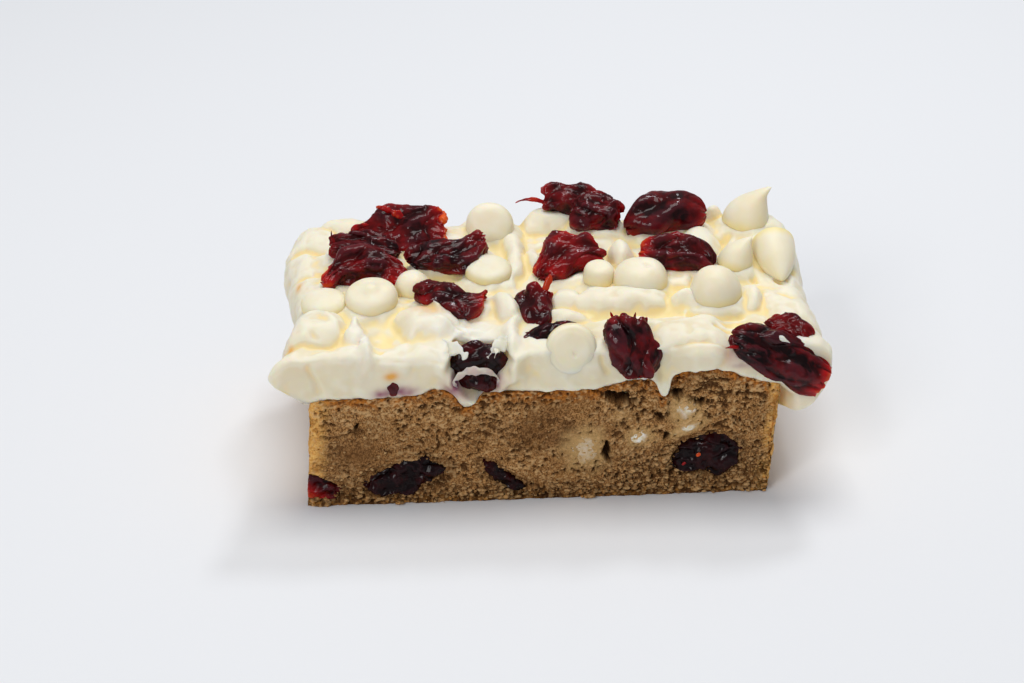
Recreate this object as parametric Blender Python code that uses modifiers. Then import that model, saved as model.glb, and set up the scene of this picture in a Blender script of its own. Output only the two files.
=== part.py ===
"""White chocolate cranberry bar.

A cut slab of blond cake with thick, lumpy white frosting that hangs over its
two pan sides. White chocolate chips and dried cranberries are pressed into
the frosting, and more of both lie open in the two cut faces of the cake.

The origin is the middle of the flat underside. X runs along the front cut
face, +Y away from it and +Z up. Lengths are in millimetres until MM turns
the finished meshes into metres.
"""

import math

import bmesh
import bpy
import numpy as np
from mathutils import Matrix, Vector, noise

MM = 0.001

# Cake slab
CAKE_WIDTH = 85.0
CAKE_DEPTH = 50.0
CAKE_HEIGHT = 22.4
SIDE_LEAN = 1.8            # the top of the slab sits this far to the right of its foot
CRUMB_RELIEF = 0.24
TOP_EDGE_DROP = 1.2        # drop and reach of the rounding along the slab's top edges
TOP_EDGE_ROUND = 1.6
FRONT = -CAKE_DEPTH / 2
BACK = CAKE_DEPTH / 2
GAP = 0.3                  # clearance kept between pieces that touch
STEEPEST = 1.8             # longest way, in gaps, that a sharp corner of a socket moves out

# Frosting
FROSTING_FRONT = 31.7      # level of the frosting along the front cut
FROSTING_BACK = 33.3       # level of the frosting along the back cut
FROSTING_FLOOR = 18.3      # the uncut blob ends here, inside the cake
FLOOR_REACH = 36.5         # its flat floor reaches this far from the middle
FLOOR_RIM = 38.5           # and the underside of the overhangs joins it here
WIDEST = 27.2              # level at which the overhangs reach furthest out
LEFT_ROOT = -43.4          # the overhangs hang lowest here, just outside the cake
RIGHT_ROOT = 45.4
SHOULDER = 4.5             # the overhangs begin this far inside their outer edge
EDGE_ROUND = 1.4           # reach and drop of the rounding along the two cut edges
EDGE_DROP = 1.1
SEAM = 0.7                 # its end rows pass this far above and below the cake's top
TUCK = 1.2                 # and are set this far back inside the cake below it
LUMP_FOOT = 29.5
LUMP_BLEND = 0.35

# Swells of the cake's top: x, y, width, reach in depth, rise
TOP_SWELLS = [
    (-18.0, -25.0, 2.6, 12.0, 1.4),
    (30.5, -22.0, 8.5, 22.0, 4.3),
    (17.0, -25.0, 4.0, 14.0, 1.6),
    (-2.0, -10.0, 14.0, 20.0, 0.9),
    (-28.0, 18.0, 12.0, 14.0, 1.6),
    (16.0, 24.0, 8.0, 12.0, 2.2),
]
# Where frosting runs down into a crack of the cut edge: x, y, width, reach, depth
TOP_CRACKS = [
    (-12.6, -25.0, 1.9, 3.0, 3.3),
    (22.7, -25.0, 1.0, 3.0, 4.4),
    (-4.0, 25.0, 1.8, 3.0, 3.0),
]

# Outer edge of the frosting above the pan sides: y, x
LEFT_EDGE = [(-25, -48.6), (-20, -45.8), (-14, -44.9), (-7, -43.4), (4, -45.2), (14, -46.8), (25, -45.6)]
RIGHT_EDGE = [(-25, 54.0), (-18, 52.4), (-8, 51.7), (5, 51.6), (15, 52.2), (25, 50.6)]
# Lower edge of the two overhangs: y, z
LEFT_HEM = [(-25, 23.2), (-12, 21.6), (0, 22.8), (12, 20.8), (25, 22.4)]
RIGHT_HEM = [(-25, 15.9), (-15, 18.4), (0, 19.8), (12, 17.9), (25, 20.2)]
# How far the frosting stands proud of the front cut: x, reach
FRONT_PROUD = [
    (-48, 0.0), (-38, 0.6), (-20, 0.5), (-14, 0.0), (-6, 0.1), (3, 0.9),
    (10, 0.9), (14, 0.2), (22, 0.4), (29, 1.9), (37, 1.2), (44, 0.4), (54, 0.2),
]

# Lumps of the frosting: x, y, top, half length, half width, turn in degrees, squareness
LUMPS = [
    (-40.0, 19.0, 35.0, 6.5, 7.5, 10, 2.2),
    (-35.0, 23.0, 36.0, 8.0, 4.5, 0, 2.2),
    (-43.2, 11.0, 33.6, 4.2, 6.5, 0, 2.0),
    (-41.5, -1.0, 32.4, 4.0, 5.0, 0, 2.0),
    (-40.2, -15.4, 34.4, 6.2, 5.6, 0, 3.2),
    (-32.4, -18.6, 34.2, 1.6, 4.2, -12, 2.0),
    (-19.6, -15.4, 35.0, 5.2, 6.0, 20, 2.6),
    (-23.6, -22.0, 31.9, 2.4, 2.2, 0, 2.0),
    (-33.0, -24.0, 32.4, 9.0, 2.6, 4, 2.4),
    (-5.4, -11.0, 35.2, 2.7, 5.4, 0, 2.0),
    (-2.6, 9.0, 35.4, 2.6, 13.0, -3, 2.0),
    (3.8, 22.6, 36.4, 6.0, 5.2, 0, 2.0),
    (1.0, 5.4, 35.6, 3.0, 5.4, 8, 2.0),
    (17.4, 7.6, 36.2, 3.0, 4.8, 0, 2.2),
    (16.4, -9.8, 35.0, 10.0, 3.3, -1, 2.6),
    (6.2, -8.6, 34.6, 4.2, 3.8, 0, 2.0),
    (5.8, -14.0, 33.4, 4.4, 2.3, -6, 2.0),
    (28.4, -10.6, 34.4, 4.4, 2.8, 0, 2.0),
    (28.2, -21.8, 33.6, 7.4, 5.0, 0, 2.6),
    (32.8, 11.6, 36.2, 4.8, 6.0, 0, 2.2),
    (36.8, 23.6, 35.8, 2.4, 2.4, 0, 2.4),
    (48.2, 20.6, 35.0, 3.4, 5.4, 0, 2.2),
    (40.2, -9.4, 34.2, 2.4, 4.8, -6, 2.0),
    (46.6, -10.6, 33.2, 5.0, 9.0, 0, 2.4),
    (48.6, 7.0, 33.8, 3.4, 8.0, 0, 2.2),
    (27.6, -3.0, 33.8, 3.0, 2.6, 0, 3.0),
    (-14.0, 17.0, 35.2, 6.0, 6.0, 0, 2.0),
    (12.0, 13.0, 34.6, 7.0, 5.0, 0, 2.0),
]
# Hollows of the frosting: x, y, depth, half length, half width
HOLLOWS = [
    (-27.4, -18.6, 2.2, 3.6, 3.4),
    (35.8, -17.4, 1.6, 2.6, 1.8),
    (-10.2, -23.6, 3.0, 4.8, 3.4),
    (-36.6, 4.0, 0.9, 5.0, 3.6),
    (43.0, -4.0, 0.9, 3.4, 3.0),
]

# White chocolate chips: base centre, radius, height, bluntness, nib, tilt and heading in degrees
CHIPS = [
    ((-29.4, -7.6, 32.8), 4.8, 2.6, 3.5, 0.4, 14, -90),
    ((-38.1, -7.4, 32.2), 4.2, 2.4, 2.6, 0.0, 10, -110),
    ((-6.9, 19.6, 34.2), 4.6, 4.2, 2.6, 0.0, 42, -90),
    ((-7.7, 1.6, 33.2), 4.5, 2.3, 3.0, 0.0, 5, -60),
    ((-22.0, -2.4, 32.4), 3.5, 3.6, 2.2, 0.0, 10, -60),
    ((6.4, -22.4, 30.2), 4.6, 2.8, 4.0, 0.2, 70, -90),
    ((33.9, -9.4, 32.3), 4.8, 6.0, 2.2, 0.0, 5, 180),
    ((20.4, -4.0, 33.0), 5.0, 4.4, 2.4, 0.0, 6, -90),
    ((12.8, -2.2, 32.8), 2.9, 3.7, 3.4, 0.0, 8, -90),
    ((46.2, 6.8, 35.2), 4.2, 9.5, 1.8, 0.8, 104, -86),
    ((42.6, 19.8, 33.3), 4.6, 6.2, 1.8, 1.6, 8, 0),
    ((38.4, 1.6, 33.3), 3.4, 5.2, 1.8, 0.8, 14, 20),
]

# Dried cranberries on the frosting: centre; length, width, thickness; turn, pitch,
# roll in degrees; bend and swerve of the spine; depth of the fold; bluntness of the ends
BERRIES = [
    ((-23.0, 15.4, 36.2), (18.4, 10.4, 4.6), (-3, 4, 36), 0.6, 0.0, 0.20, 0.62),
    ((-31.1, 9.6, 35.7), (13.5, 6.3, 5.2), (-8, -4, 15), 0.8, 0.5, 0.25, 0.55),
    ((-30.7, 0.4, 34.9), (15.6, 8.0, 6.4), (2, 0, 20), 4.2, 0.0, 0.35, 0.55),
    ((-14.8, 6.2, 36.3), (16.4, 7.2, 5.4), (22, 6, 20), -2.8, -0.8, 0.20, 0.60),
    ((-14.4, -10.2, 35.0), (14.8, 6.2, 4.6), (-4, -3, 25), -1.6, -1.2, 0.20, 0.60),
    ((-10.2, -23.4, 28.2), (11.0, 9.4, 5.4), (0, 0, 76), 1.0, 0.0, 0.35, 0.60),
    ((2.4, -20.0, 31.2), (12.0, 4.4, 3.6), (20, 8, 20), 0.6, 0.0, 0.10, 0.60),
    ((0.6, -12.0, 32.8), (11.0, 7.0, 4.4), (60, 30, 0), 0.8, 0.8, 0.20, 0.85),
    ((7.9, 2.6, 34.9), (13.8, 9.0, 7.0), (24, 8, 25), 2.0, 0.0, 0.30, 0.60),
    ((8.6, 23.0, 37.8), (12.0, 6.6, 6.0), (-8, -3, 25), 0.6, 0.0, 0.20, 0.60),
    ((13.6, 18.4, 36.6), (11.0, 8.8, 7.0), (-10, -8, 20), 0.8, 0.0, 0.20, 0.55),
    ((26.8, 17.0, 36.4), (15.6, 9.2, 8.0), (8, 6, 25), 2.0, 0.0, 0.12, 0.60),
    ((27.4, 2.4, 35.2), (14.4, 8.2, 6.6), (-10, -8, 22), 1.0, 0.6, 0.40, 0.60),
    ((17.6, -23.2, 30.4), (12.8, 8.6, 5.6), (92, 58, 4), 0.6, 0.6, 0.20, 0.55),
    ((44.2, -25.4, 28.1), (20.5, 8.6, 7.0), (-6, -29, 50), 0.6, 0.0, 0.25, 0.55),
    ((46.0, -20.8, 31.2), (8.8, 5.2, 3.8), (-30, -12, 30), 0.4, 0.0, 0.15, 0.50),
    ((-25.6, -25.0, 24.9), (3.6, 2.2, 1.8), (90, 84, 0), 0.0, 0.0, 0.00, 0.60),
]

# Cranberries in the cut faces, with the same values, and the cut they lie open in
BAKED_BERRIES = [
    ((-39.7, -23.2, 3.6), (6.6, 5.0, 4.2), (4, -8, 0), 0.0, 0.0, 0.0, 0.45, FRONT),
    ((-23.9, -22.8, 5.6), (15.6, 7.0, 5.6), (0, 12, 0), 0.0, 0.0, 0.0, 0.50, FRONT),
    ((-6.4, -23.6, 4.8), (8.6, 4.4, 2.9), (0, -38, 0), 0.0, 0.0, 0.0, 0.55, FRONT),
    ((31.3, -22.6, 8.2), (12.0, 7.6, 8.6), (0, 8, 0), 0.0, 0.0, 0.0, 0.50, FRONT),
    ((-29.0, 23.0, 13.0), (10.5, 7.0, 7.6), (0, 16, 0), 0.0, 0.0, 0.0, 0.50, BACK),
    ((5.5, 23.2, 5.6), (13.5, 6.6, 4.8), (0, -7, 0), 0.0, 0.0, 0.0, 0.55, BACK),
    ((33.0, 23.0, 15.4), (8.6, 6.4, 7.2), (0, -30, 0), 0.0, 0.0, 0.0, 0.50, BACK),
]
# White chocolate in the cut faces: centre; length, depth, height; pitch; cut face
BAKED_CHOCOLATE = [
    ((8.8, -23.2, 10.4), (6.4, 5.6, 7.2), 0, FRONT),
    ((18.5, -23.4, 12.7), (4.6, 4.4, 3.2), 12, FRONT),
    ((26.9, -23.2, 17.6), (5.0, 5.6, 4.6), -8, FRONT),
    ((27.2, -23.6, 14.0), (5.8, 4.4, 1.7), 24, FRONT),
    ((-12.5, 23.2, 14.6), (7.4, 5.6, 5.4), 10, BACK),
    ((20.0, 23.2, 8.6), (6.2, 5.4, 4.6), -18, BACK),
]
# Open holes in the cut faces: centre and half sizes
HOLES = [
    ((12.6, FRONT, 9.5), (1.0, 2.2, 2.7)),
    ((15.6, FRONT, 20.6), (3.2, 3.0, 1.4)),
    ((16.9, FRONT, 16.4), (1.3, 1.8, 2.0)),
    ((25.8, FRONT, 21.5), (1.5, 2.0, 1.1)),
    ((22.3, FRONT, 16.8), (1.1, 1.5, 1.0)),
    ((23.1, FRONT, 12.3), (1.2, 1.6, 1.1)),
    ((-33.0, FRONT, 16.8), (0.9, 1.4, 0.9)),
    ((-19.0, BACK, 6.4), (1.4, 2.0, 1.1)),
    ((13.0, BACK, 18.2), (2.4, 2.2, 1.2)),
]


def clear_scene():
    """Remove every object that the file holds."""
    for old in list(bpy.data.objects):
        bpy.data.objects.remove(old, do_unlink=True)


def make_material(name, colour, roughness):
    """Principled material with one colour and roughness."""
    material = bpy.data.materials.new(name)
    material.use_nodes = True
    shader = material.node_tree.nodes["Principled BSDF"]
    shader.inputs["Base Color"].default_value = (*colour, 1.0)
    shader.inputs["Roughness"].default_value = roughness
    shader.inputs["Metallic"].default_value = 0.0
    material.diffuse_color = (*colour, 1.0)
    return material


def through(points, position):
    """Smooth curve through (position, value) pairs, level at each of them."""
    places = np.array([p[0] for p in points], float)
    values = np.array([p[1] for p in points], float)
    position = np.clip(position, places[0], places[-1])
    step = np.clip(np.searchsorted(places, position, side="right") - 1, 0, len(places) - 2)
    share = (position - places[step]) / (places[step + 1] - places[step])
    share = share * share * (3 - 2 * share)
    return values[step] + (values[step + 1] - values[step]) * share


def cake_top(x, y):
    """Height of the baked top: a level, its swells and its cracks."""
    height = CAKE_HEIGHT + 0.0 * x
    for cx, cy, width, reach, rise in TOP_SWELLS:
        height = height + rise * np.exp(-((x - cx) / width) ** 2 - ((y - cy) / reach) ** 2)
    for cx, cy, width, reach, depth in TOP_CRACKS:
        height = height - depth * np.exp(-((x - cx) / width) ** 2 - ((y - cy) / reach) ** 2)
    edge = CAKE_WIDTH / 2 + SIDE_LEAN - np.abs(x - SIDE_LEAN)
    return height - TOP_EDGE_DROP * np.exp(-np.maximum(edge, 0.0) / TOP_EDGE_ROUND)


def frosting_top(x, y):
    """Height of the frosting: a gentle rise to the back, lumps joined to it, and hollows."""
    share = np.clip((y - FRONT) / CAKE_DEPTH, 0, 1)
    level = FROSTING_FRONT + (FROSTING_BACK - FROSTING_FRONT) * share
    level = level + 0.35 * np.sin(x / 6.1 + 0.8) * np.cos(y / 5.3) + 0.2 * np.sin(x / 2.7 + y / 3.9)
    total = np.exp(level / LUMP_BLEND - FROSTING_BACK / LUMP_BLEND)
    for cx, cy, top, length, width, turn, square in LUMPS:
        c, s = math.cos(math.radians(turn)), math.sin(math.radians(turn))
        u = np.abs((x - cx) * c + (y - cy) * s) / length
        v = np.abs((y - cy) * c - (x - cx) * s) / width
        inside = np.clip(1 - u ** square - v ** square, 0, 1)
        height = LUMP_FOOT + (top - LUMP_FOOT) * inside ** (1 / square)
        total = total + np.exp((height - FROSTING_BACK) / LUMP_BLEND) * (inside > 0)
    height = FROSTING_BACK + LUMP_BLEND * np.log(total)
    for cx, cy, depth, length, width in HOLLOWS:
        height = height - depth * np.exp(-((x - cx) / length) ** 2 - ((y - cy) / width) ** 2)
    return height


def new_object(name, mesh, collection, material):
    """Object with its mesh in place and one material."""
    mesh.materials.clear()
    mesh.materials.append(material)
    thing = bpy.data.objects.new(name, mesh)
    collection.objects.link(thing)
    return thing


def face_outwards(shape):
    """Turn the faces of a closed bmesh outwards."""
    bmesh.ops.recalc_face_normals(shape, faces=shape.faces)
    if shape.calc_volume(signed=True) < 0:
        bmesh.ops.reverse_faces(shape, faces=shape.faces)


def finish_bmesh(name, shape):
    """Mesh data from a bmesh, with outward faces and its vertices in metres."""
    face_outwards(shape)
    bmesh.ops.scale(shape, vec=(MM, MM, MM), verts=shape.verts)
    mesh = bpy.data.meshes.new(name)
    shape.to_mesh(mesh)
    shape.free()
    return mesh


def move_vertices(shape, rule):
    """Send all vertices of a bmesh through a function of their coordinate arrays."""
    places = np.array([v.co for v in shape.verts])
    for vertex, place in zip(shape.verts, rule(*places.T)):
        vertex.co = place
    shape.normal_update()


def grow(shape, reach):
    """Triangulate a closed surface and move its faces outwards by a distance."""
    face_outwards(shape)
    bmesh.ops.triangulate(shape, faces=shape.faces)
    shape.normal_update()
    moved = [vertex.co + vertex.normal * reach * min(vertex.calc_shell_factor(), STEEPEST)
             for vertex in shape.verts]
    for vertex, place in zip(shape.verts, moved):
        vertex.co = place


def cake_shape(extra):
    """Slab from a divided cube: leaning sides, baked top and coarse crumb relief.

    With extra above zero it is the slab's outline pushed out by that much.
    """
    shape = bmesh.new()
    bmesh.ops.create_cube(shape, size=2.0)
    for axis, pieces in ((0, 22), (1, 8), (2, 3)):
        for cut in range(1, pieces):
            normal = Vector((0, 0, 0))
            normal[axis] = 1.0
            geometry = shape.verts[:] + shape.edges[:] + shape.faces[:]
            place = normal * (2 * cut / pieces - 1)
            bmesh.ops.bisect_plane(shape, geom=geometry, plane_co=place, plane_no=normal)
    underside = [face for face in shape.faces if all(v.co.z < -0.999 for v in face.verts)]
    bmesh.ops.dissolve_faces(shape, faces=underside)

    def slab(u, v, w):
        share = (w + 1) / 2
        x = u * CAKE_WIDTH / 2
        y = v * CAKE_DEPTH / 2
        z = share * cake_top(x + SIDE_LEAN * share, y)
        x = x + SIDE_LEAN * share
        relief = np.array([noise.noise(Vector(p) * 0.45) for p in zip(x, y, z)]) * CRUMB_RELIEF
        coarse = np.array([noise.noise(Vector(p) * 0.2 + Vector((9, 4, 2))) for p in zip(x, y, z)])
        side = (np.abs(u) > 0.999) & (w > -0.999)
        cut = (np.abs(v) > 0.999) & (w > -0.999)
        x = x + np.where(side, np.sign(u) * (relief + coarse * 0.8), 0)
        y = y + np.where(cut, np.sign(v) * np.clip(relief - CRUMB_RELIEF / 2, -CRUMB_RELIEF, -0.02), 0)
        return np.stack([x, y, z], 1)

    move_vertices(shape, slab)
    grow(shape, extra)
    return shape


def frosting_shape():
    """Blob of frosting before the cake and the toppings are cut from it.

    A grid runs across the bar from under the left overhang, over the top, to
    under the right overhang. Its end rows run down the two cut faces.
    """
    lip = 7
    across = 38
    deep = 20
    wall = 4
    columns = across + 2 * lip
    rows = deep + 2 * wall
    shape = bmesh.new()
    bmesh.ops.create_grid(shape, x_segments=columns, y_segments=rows, size=1.0)

    def blob(u, v, _):
        column = np.round((u + 1) / 2 * columns)
        row = np.round((v + 1) / 2 * rows)
        y = np.clip((row - wall) / deep, 0, 1) * CAKE_DEPTH + FRONT
        left, right = through(LEFT_EDGE, y), through(RIGHT_EDGE, y)
        left_hem, right_hem = through(LEFT_HEM, y), through(RIGHT_HEM, y)
        share = np.clip((column - lip) / across, 0, 1)
        shoulder_left, shoulder_right = left + SHOULDER, right - SHOULDER
        x = shoulder_left + (shoulder_right - shoulder_left) * share
        z = frosting_top(x, y)
        near_edge = np.minimum(y - FRONT, BACK - y)
        z = z - EDGE_DROP * np.exp(-near_edge / EDGE_ROUND)
        x, z = overhang(x, z, lip - column, LEFT_ROOT, left, left_hem)
        x, z = overhang(x, z, column - lip - across, RIGHT_ROOT, right, right_hem)
        step = np.maximum(np.maximum(wall - row, row - wall - deep), 0).astype(int)
        drop = z - FROSTING_FLOOR
        sill = np.clip((z - cake_top(x, y) - SEAM) / np.maximum(drop, SEAM), 0.3, 0.75)
        sink = np.clip((z - cake_top(x, y) + SEAM) / np.maximum(drop, SEAM), sill + 0.1, 0.9)
        down = np.choose(step, [0 * sill, sill / 2, sill, sink, 1 + 0 * sill])
        proud = np.where(row < wall, through(FRONT_PROUD, x), 0.5 + 0.4 * np.sin(x / 4.3))
        x = x + (np.clip(x, -FLOOR_REACH, FLOOR_REACH) - x) * down
        z = z - drop * down
        below = np.clip((cake_top(x, y) + SEAM - z) / (2 * SEAM), 0, 1)
        below = below * np.clip(CAKE_WIDTH / 2 + 1 - np.abs(x - SIDE_LEAN), 0, 1)
        shift = (step > 0) * (proud * (1 - below) - TUCK * below)
        y = y + np.where(row < wall, -1, 1) * shift
        return np.stack([x, y, z], 1)

    move_vertices(shape, blob)
    bmesh.ops.remove_doubles(shape, verts=shape.verts, dist=0.01)
    rim = [edge for edge in shape.edges if edge.is_boundary]
    bmesh.ops.contextual_create(shape, geom=rim)
    return shape


def overhang(x, z, past, root, edge, hem):
    """Roll the columns past the shoulder round an overhang and back under it.

    Three columns follow a quarter ellipse out to the edge, three one in to the
    hem at the root, and the last one ends inside the cake, just under the
    straight line from the hem to the floor.
    """
    outer = np.clip(past / 3, 0, 1) * math.pi / 2
    under = np.clip((past - 3) / 3, 0, 1) * math.pi / 2
    rolled_x = x + (edge - x) * np.sin(outer)
    rolled_z = WIDEST + (z - WIDEST) * np.cos(outer)
    rolled_x = np.where(under > 0, root + (edge - root) * np.cos(under), rolled_x)
    rolled_z = np.where(under > 0, WIDEST - (WIDEST - hem) * np.sin(under), rolled_z)
    share = (FLOOR_RIM - FLOOR_REACH) / (abs(root) - FLOOR_REACH)
    rim_z = FROSTING_FLOOR + (hem - FROSTING_FLOOR) * share - 0.4
    rolled_x = np.where(past > 6, math.copysign(FLOOR_RIM, root), rolled_x)
    rolled_z = np.where(past > 6, rim_z, rolled_z)
    return np.where(past > 0, rolled_x, x), np.where(past > 0, rolled_z, z)


def berry_shape(place, size, angles, bend, swerve, fold, blunt, sides=10, rings=7, extra=0.0):
    """Dried cranberry: a sphere drawn out along a bent spine, with a fold along its upper side."""
    shape = bmesh.new()
    bmesh.ops.create_uvsphere(shape, u_segments=sides, v_segments=rings, radius=1.0)
    length, width, thickness = size
    turn, pitch, roll = (math.radians(a) for a in angles)
    turning = Matrix.Rotation(turn, 3, "Z") @ Matrix.Rotation(-pitch, 3, "Y") @ Matrix.Rotation(roll, 3, "X")
    turning = np.array(turning)

    def drawn(x, y, z):
        around = np.arctan2(y, x)
        waist = np.maximum(1 - z * z, 0) ** (blunt / 2)
        along = z * length / 2
        spine = bend * (2 / 3 - z * z) + swerve * np.sin(math.pi * z)
        beside = waist * np.cos(around) * width / 2 + spine
        crease = 1 - fold * np.exp(-(np.cos(around) / 0.4) ** 2) * (np.sin(around) > 0)
        above = waist * np.sin(around) * crease * thickness / 2
        ripple = 1 + 0.07 * np.sin(5 * z + 3 * around + place[0])
        local = np.stack([along, beside * ripple, above * ripple])
        return (turning @ local).T + np.array(place)

    move_vertices(shape, drawn)
    grow(shape, extra)
    return shape


def chip_shape(place, radius, height, blunt, nib, tilt, heading, extra=0.0):
    """White chocolate chip: a turned profile with a flat base, tilted towards its heading."""
    profile = [(0.0, 0.0), (radius * 0.8, 0.0)]
    for step in range(5):
        angle = math.pi / 2 * (1 - step / 4)
        share = math.sin(angle) ** (2 / blunt) if step < 4 else 0.0
        lift = height * math.cos(angle) ** (2 / blunt) + nib * math.exp(-(share / 0.3) ** 2)
        profile.append((radius * share, 0.35 + lift))
    mesh = bpy.data.meshes.new("chip_profile")
    mesh.from_pydata([(r * MM, 0.0, z * MM) for r, z in reversed(profile)],
                     [(i, i + 1) for i in range(len(profile) - 1)], [])
    turned = bpy.data.objects.new("chip_profile", mesh)
    bpy.context.scene.collection.objects.link(turned)
    screw = turned.modifiers.new("turn", "SCREW")
    screw.steps = 10
    screw.render_steps = 10
    screw.use_merge_vertices = True
    screw.merge_threshold = 0.00001
    solid = bpy.data.meshes.new_from_object(turned.evaluated_get(bpy.context.evaluated_depsgraph_get()))
    shape = bmesh.new()
    shape.from_mesh(solid)
    bpy.data.objects.remove(turned)
    bpy.data.meshes.remove(mesh)
    bpy.data.meshes.remove(solid)
    bmesh.ops.scale(shape, vec=(1 / MM, 1 / MM, 1 / MM), verts=shape.verts)
    bmesh.ops.remove_doubles(shape, verts=shape.verts, dist=0.01)
    grow(shape, extra)
    around = math.radians(heading)
    axis = Vector((-math.sin(around), math.cos(around), 0.0))
    leaning = Matrix.Translation(place) @ Matrix.Rotation(math.radians(tilt), 4, axis)
    bmesh.ops.transform(shape, matrix=leaning, verts=shape.verts)
    return shape


def blob_arguments(place, size, pitch):
    """Berry arguments for a plain rounded piece of white chocolate."""
    return place, size, (0, pitch, 0), 0.0, 0.0, 0.0, 0.7


def hole_shape(place, half):
    """Ellipsoid that opens a hole in a cut face."""
    shape = bmesh.new()
    bmesh.ops.create_icosphere(shape, subdivisions=1, radius=1.0)
    bmesh.ops.scale(shape, vec=half, verts=shape.verts)
    bmesh.ops.translate(shape, vec=place, verts=shape.verts)
    return shape


def slice_at(shape, face):
    """Cut a piece off level with a cut face of the cake and close it."""
    geometry = shape.verts[:] + shape.edges[:] + shape.faces[:]
    outwards = Vector((0, math.copysign(1, face), 0))
    bmesh.ops.bisect_plane(shape, geom=geometry, plane_co=(0, face, 0), plane_no=outwards, clear_outer=True)
    rim = [edge for edge in shape.edges if edge.is_boundary]
    bmesh.ops.contextual_create(shape, geom=rim)
    return shape


def keep_largest(mesh):
    """Drop every loose scrap but the piece with the most faces."""
    shape = bmesh.new()
    shape.from_mesh(mesh)
    bmesh.ops.remove_doubles(shape, verts=shape.verts, dist=0.0000005)
    shape.faces.ensure_lookup_table()
    waiting = set(shape.faces)
    groups = []
    while waiting:
        group = set()
        front = [waiting.pop()]
        while front:
            face = front.pop()
            group.add(face)
            for edge in face.edges:
                for other in edge.link_faces:
                    if other in waiting:
                        waiting.discard(other)
                        front.append(other)
        groups.append(group)
    largest = max(groups, key=len)
    scraps = [face for face in shape.faces if face not in largest]
    bmesh.ops.delete(shape, geom=scraps, context="FACES")
    loose = [vertex for vertex in shape.verts if not vertex.link_faces]
    bmesh.ops.delete(shape, geom=loose, context="VERTS")
    bmesh.ops.triangulate(shape, faces=shape.faces)
    shape.to_mesh(mesh)
    shape.free()


def cut_away(body, cutters, solver="EXACT"):
    """Cut each closed bmesh out of an object, then tidy what is left."""
    for shape in cutters:
        cutter = bpy.data.objects.new("cutter", finish_bmesh("cutter", shape))
        bpy.context.scene.collection.objects.link(cutter)
        boolean = body.modifiers.new("cut", "BOOLEAN")
        boolean.operation = "DIFFERENCE"
        boolean.solver = solver
        boolean.object = cutter
        depsgraph = bpy.context.evaluated_depsgraph_get()
        result = bpy.data.meshes.new_from_object(body.evaluated_get(depsgraph))
        body.modifiers.clear()
        body.data = result
        bpy.data.objects.remove(cutter)
    keep_largest(body.data)


def boxes_meet(first, second, margin=0.0004):
    """Whether the bounding boxes of two objects come within a margin."""
    a = np.array([v.co for v in first.data.vertices])
    b = np.array([v.co for v in second.data.vertices])
    return bool(np.all(a.min(0) - margin < b.max(0)) and np.all(b.min(0) - margin < a.max(0)))


def build():
    """Make every piece of the bar."""
    clear_scene()
    bar = bpy.data.collections.new("white_chocolate_cranberry_bar")
    bpy.context.scene.collection.children.link(bar)
    crumb = make_material("cake_crumb", (0.36, 0.20, 0.09), 0.85)
    cream = make_material("frosting_cream", (0.90, 0.84, 0.68), 0.45)
    white = make_material("white_chocolate", (0.92, 0.86, 0.70), 0.40)
    red = make_material("dried_cranberry", (0.10, 0.008, 0.012), 0.30)

    cake = new_object("cake", finish_bmesh("cake", cake_shape(0.0)), bar, crumb)
    frosting = new_object("frosting", finish_bmesh("frosting", frosting_shape()), bar, cream)
    sockets = [cake_shape(GAP)]

    toppings = []
    for number, chip in enumerate(CHIPS, 1):
        mesh = finish_bmesh("chip", chip_shape(*chip))
        solid = new_object("white_chip_%02d" % number, mesh, bar, white)
        toppings.append((solid, lambda chip=chip: chip_shape(*chip, extra=GAP)))
        sockets.append(chip_shape(*chip, extra=GAP))
    for number, berry in enumerate(BERRIES, 1):
        sides, rings = (7, 5) if berry[1][0] < 5 else (12, 8) if berry[1][0] > 17 else (10, 7)
        mesh = finish_bmesh("berry", berry_shape(*berry, sides=sides, rings=rings))
        solid = new_object("cranberry_%02d" % number, mesh, bar, red)
        larger = (lambda b=berry, s=sides, r=rings: berry_shape(*b, sides=s, rings=r, extra=GAP))
        toppings.append((solid, larger))
        sockets.append(larger())
    for first in range(len(toppings)):
        for second in range(first + 1, len(toppings)):
            if boxes_meet(toppings[first][0], toppings[second][0]):
                cut_away(toppings[second][0], [toppings[first][1]()])
    cut_away(frosting, sockets, "MANIFOLD")

    pockets = []
    for number, berry in enumerate(BAKED_BERRIES, 1):
        shape = slice_at(berry_shape(*berry[:-1], sides=8, rings=6), berry[-1])
        new_object("baked_cranberry_%02d" % number, finish_bmesh("baked_berry", shape), bar, red)
        pockets.append(berry_shape(*berry[:-1], sides=8, rings=6, extra=GAP))
    for number, (place, size, pitch, face) in enumerate(BAKED_CHOCOLATE, 1):
        arguments = blob_arguments(place, size, pitch)
        shape = slice_at(berry_shape(*arguments, sides=8, rings=5), face)
        new_object("baked_chocolate_%02d" % number, finish_bmesh("baked_chocolate", shape), bar, white)
        pockets.append(berry_shape(*arguments, sides=8, rings=5, extra=GAP))
    pockets.extend(hole_shape(place, half) for place, half in HOLES)
    cut_away(cake, pockets, "MANIFOLD")


build()
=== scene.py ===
"""Finish of a white chocolate cranberry bar: crumb, frosting, chips and dried berries.

Every new surface is a grid of points worked out with numpy, in millimetres,
in the frame of the solids: the origin is the middle of the cake's underside,
+X runs along the front cut face, +Y away from it and +Z up. make_piece turns
the points to metres. The tables of places and sizes follow those of the solids.
"""

import math

import bpy
import numpy as np
from mathutils import Matrix


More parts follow.
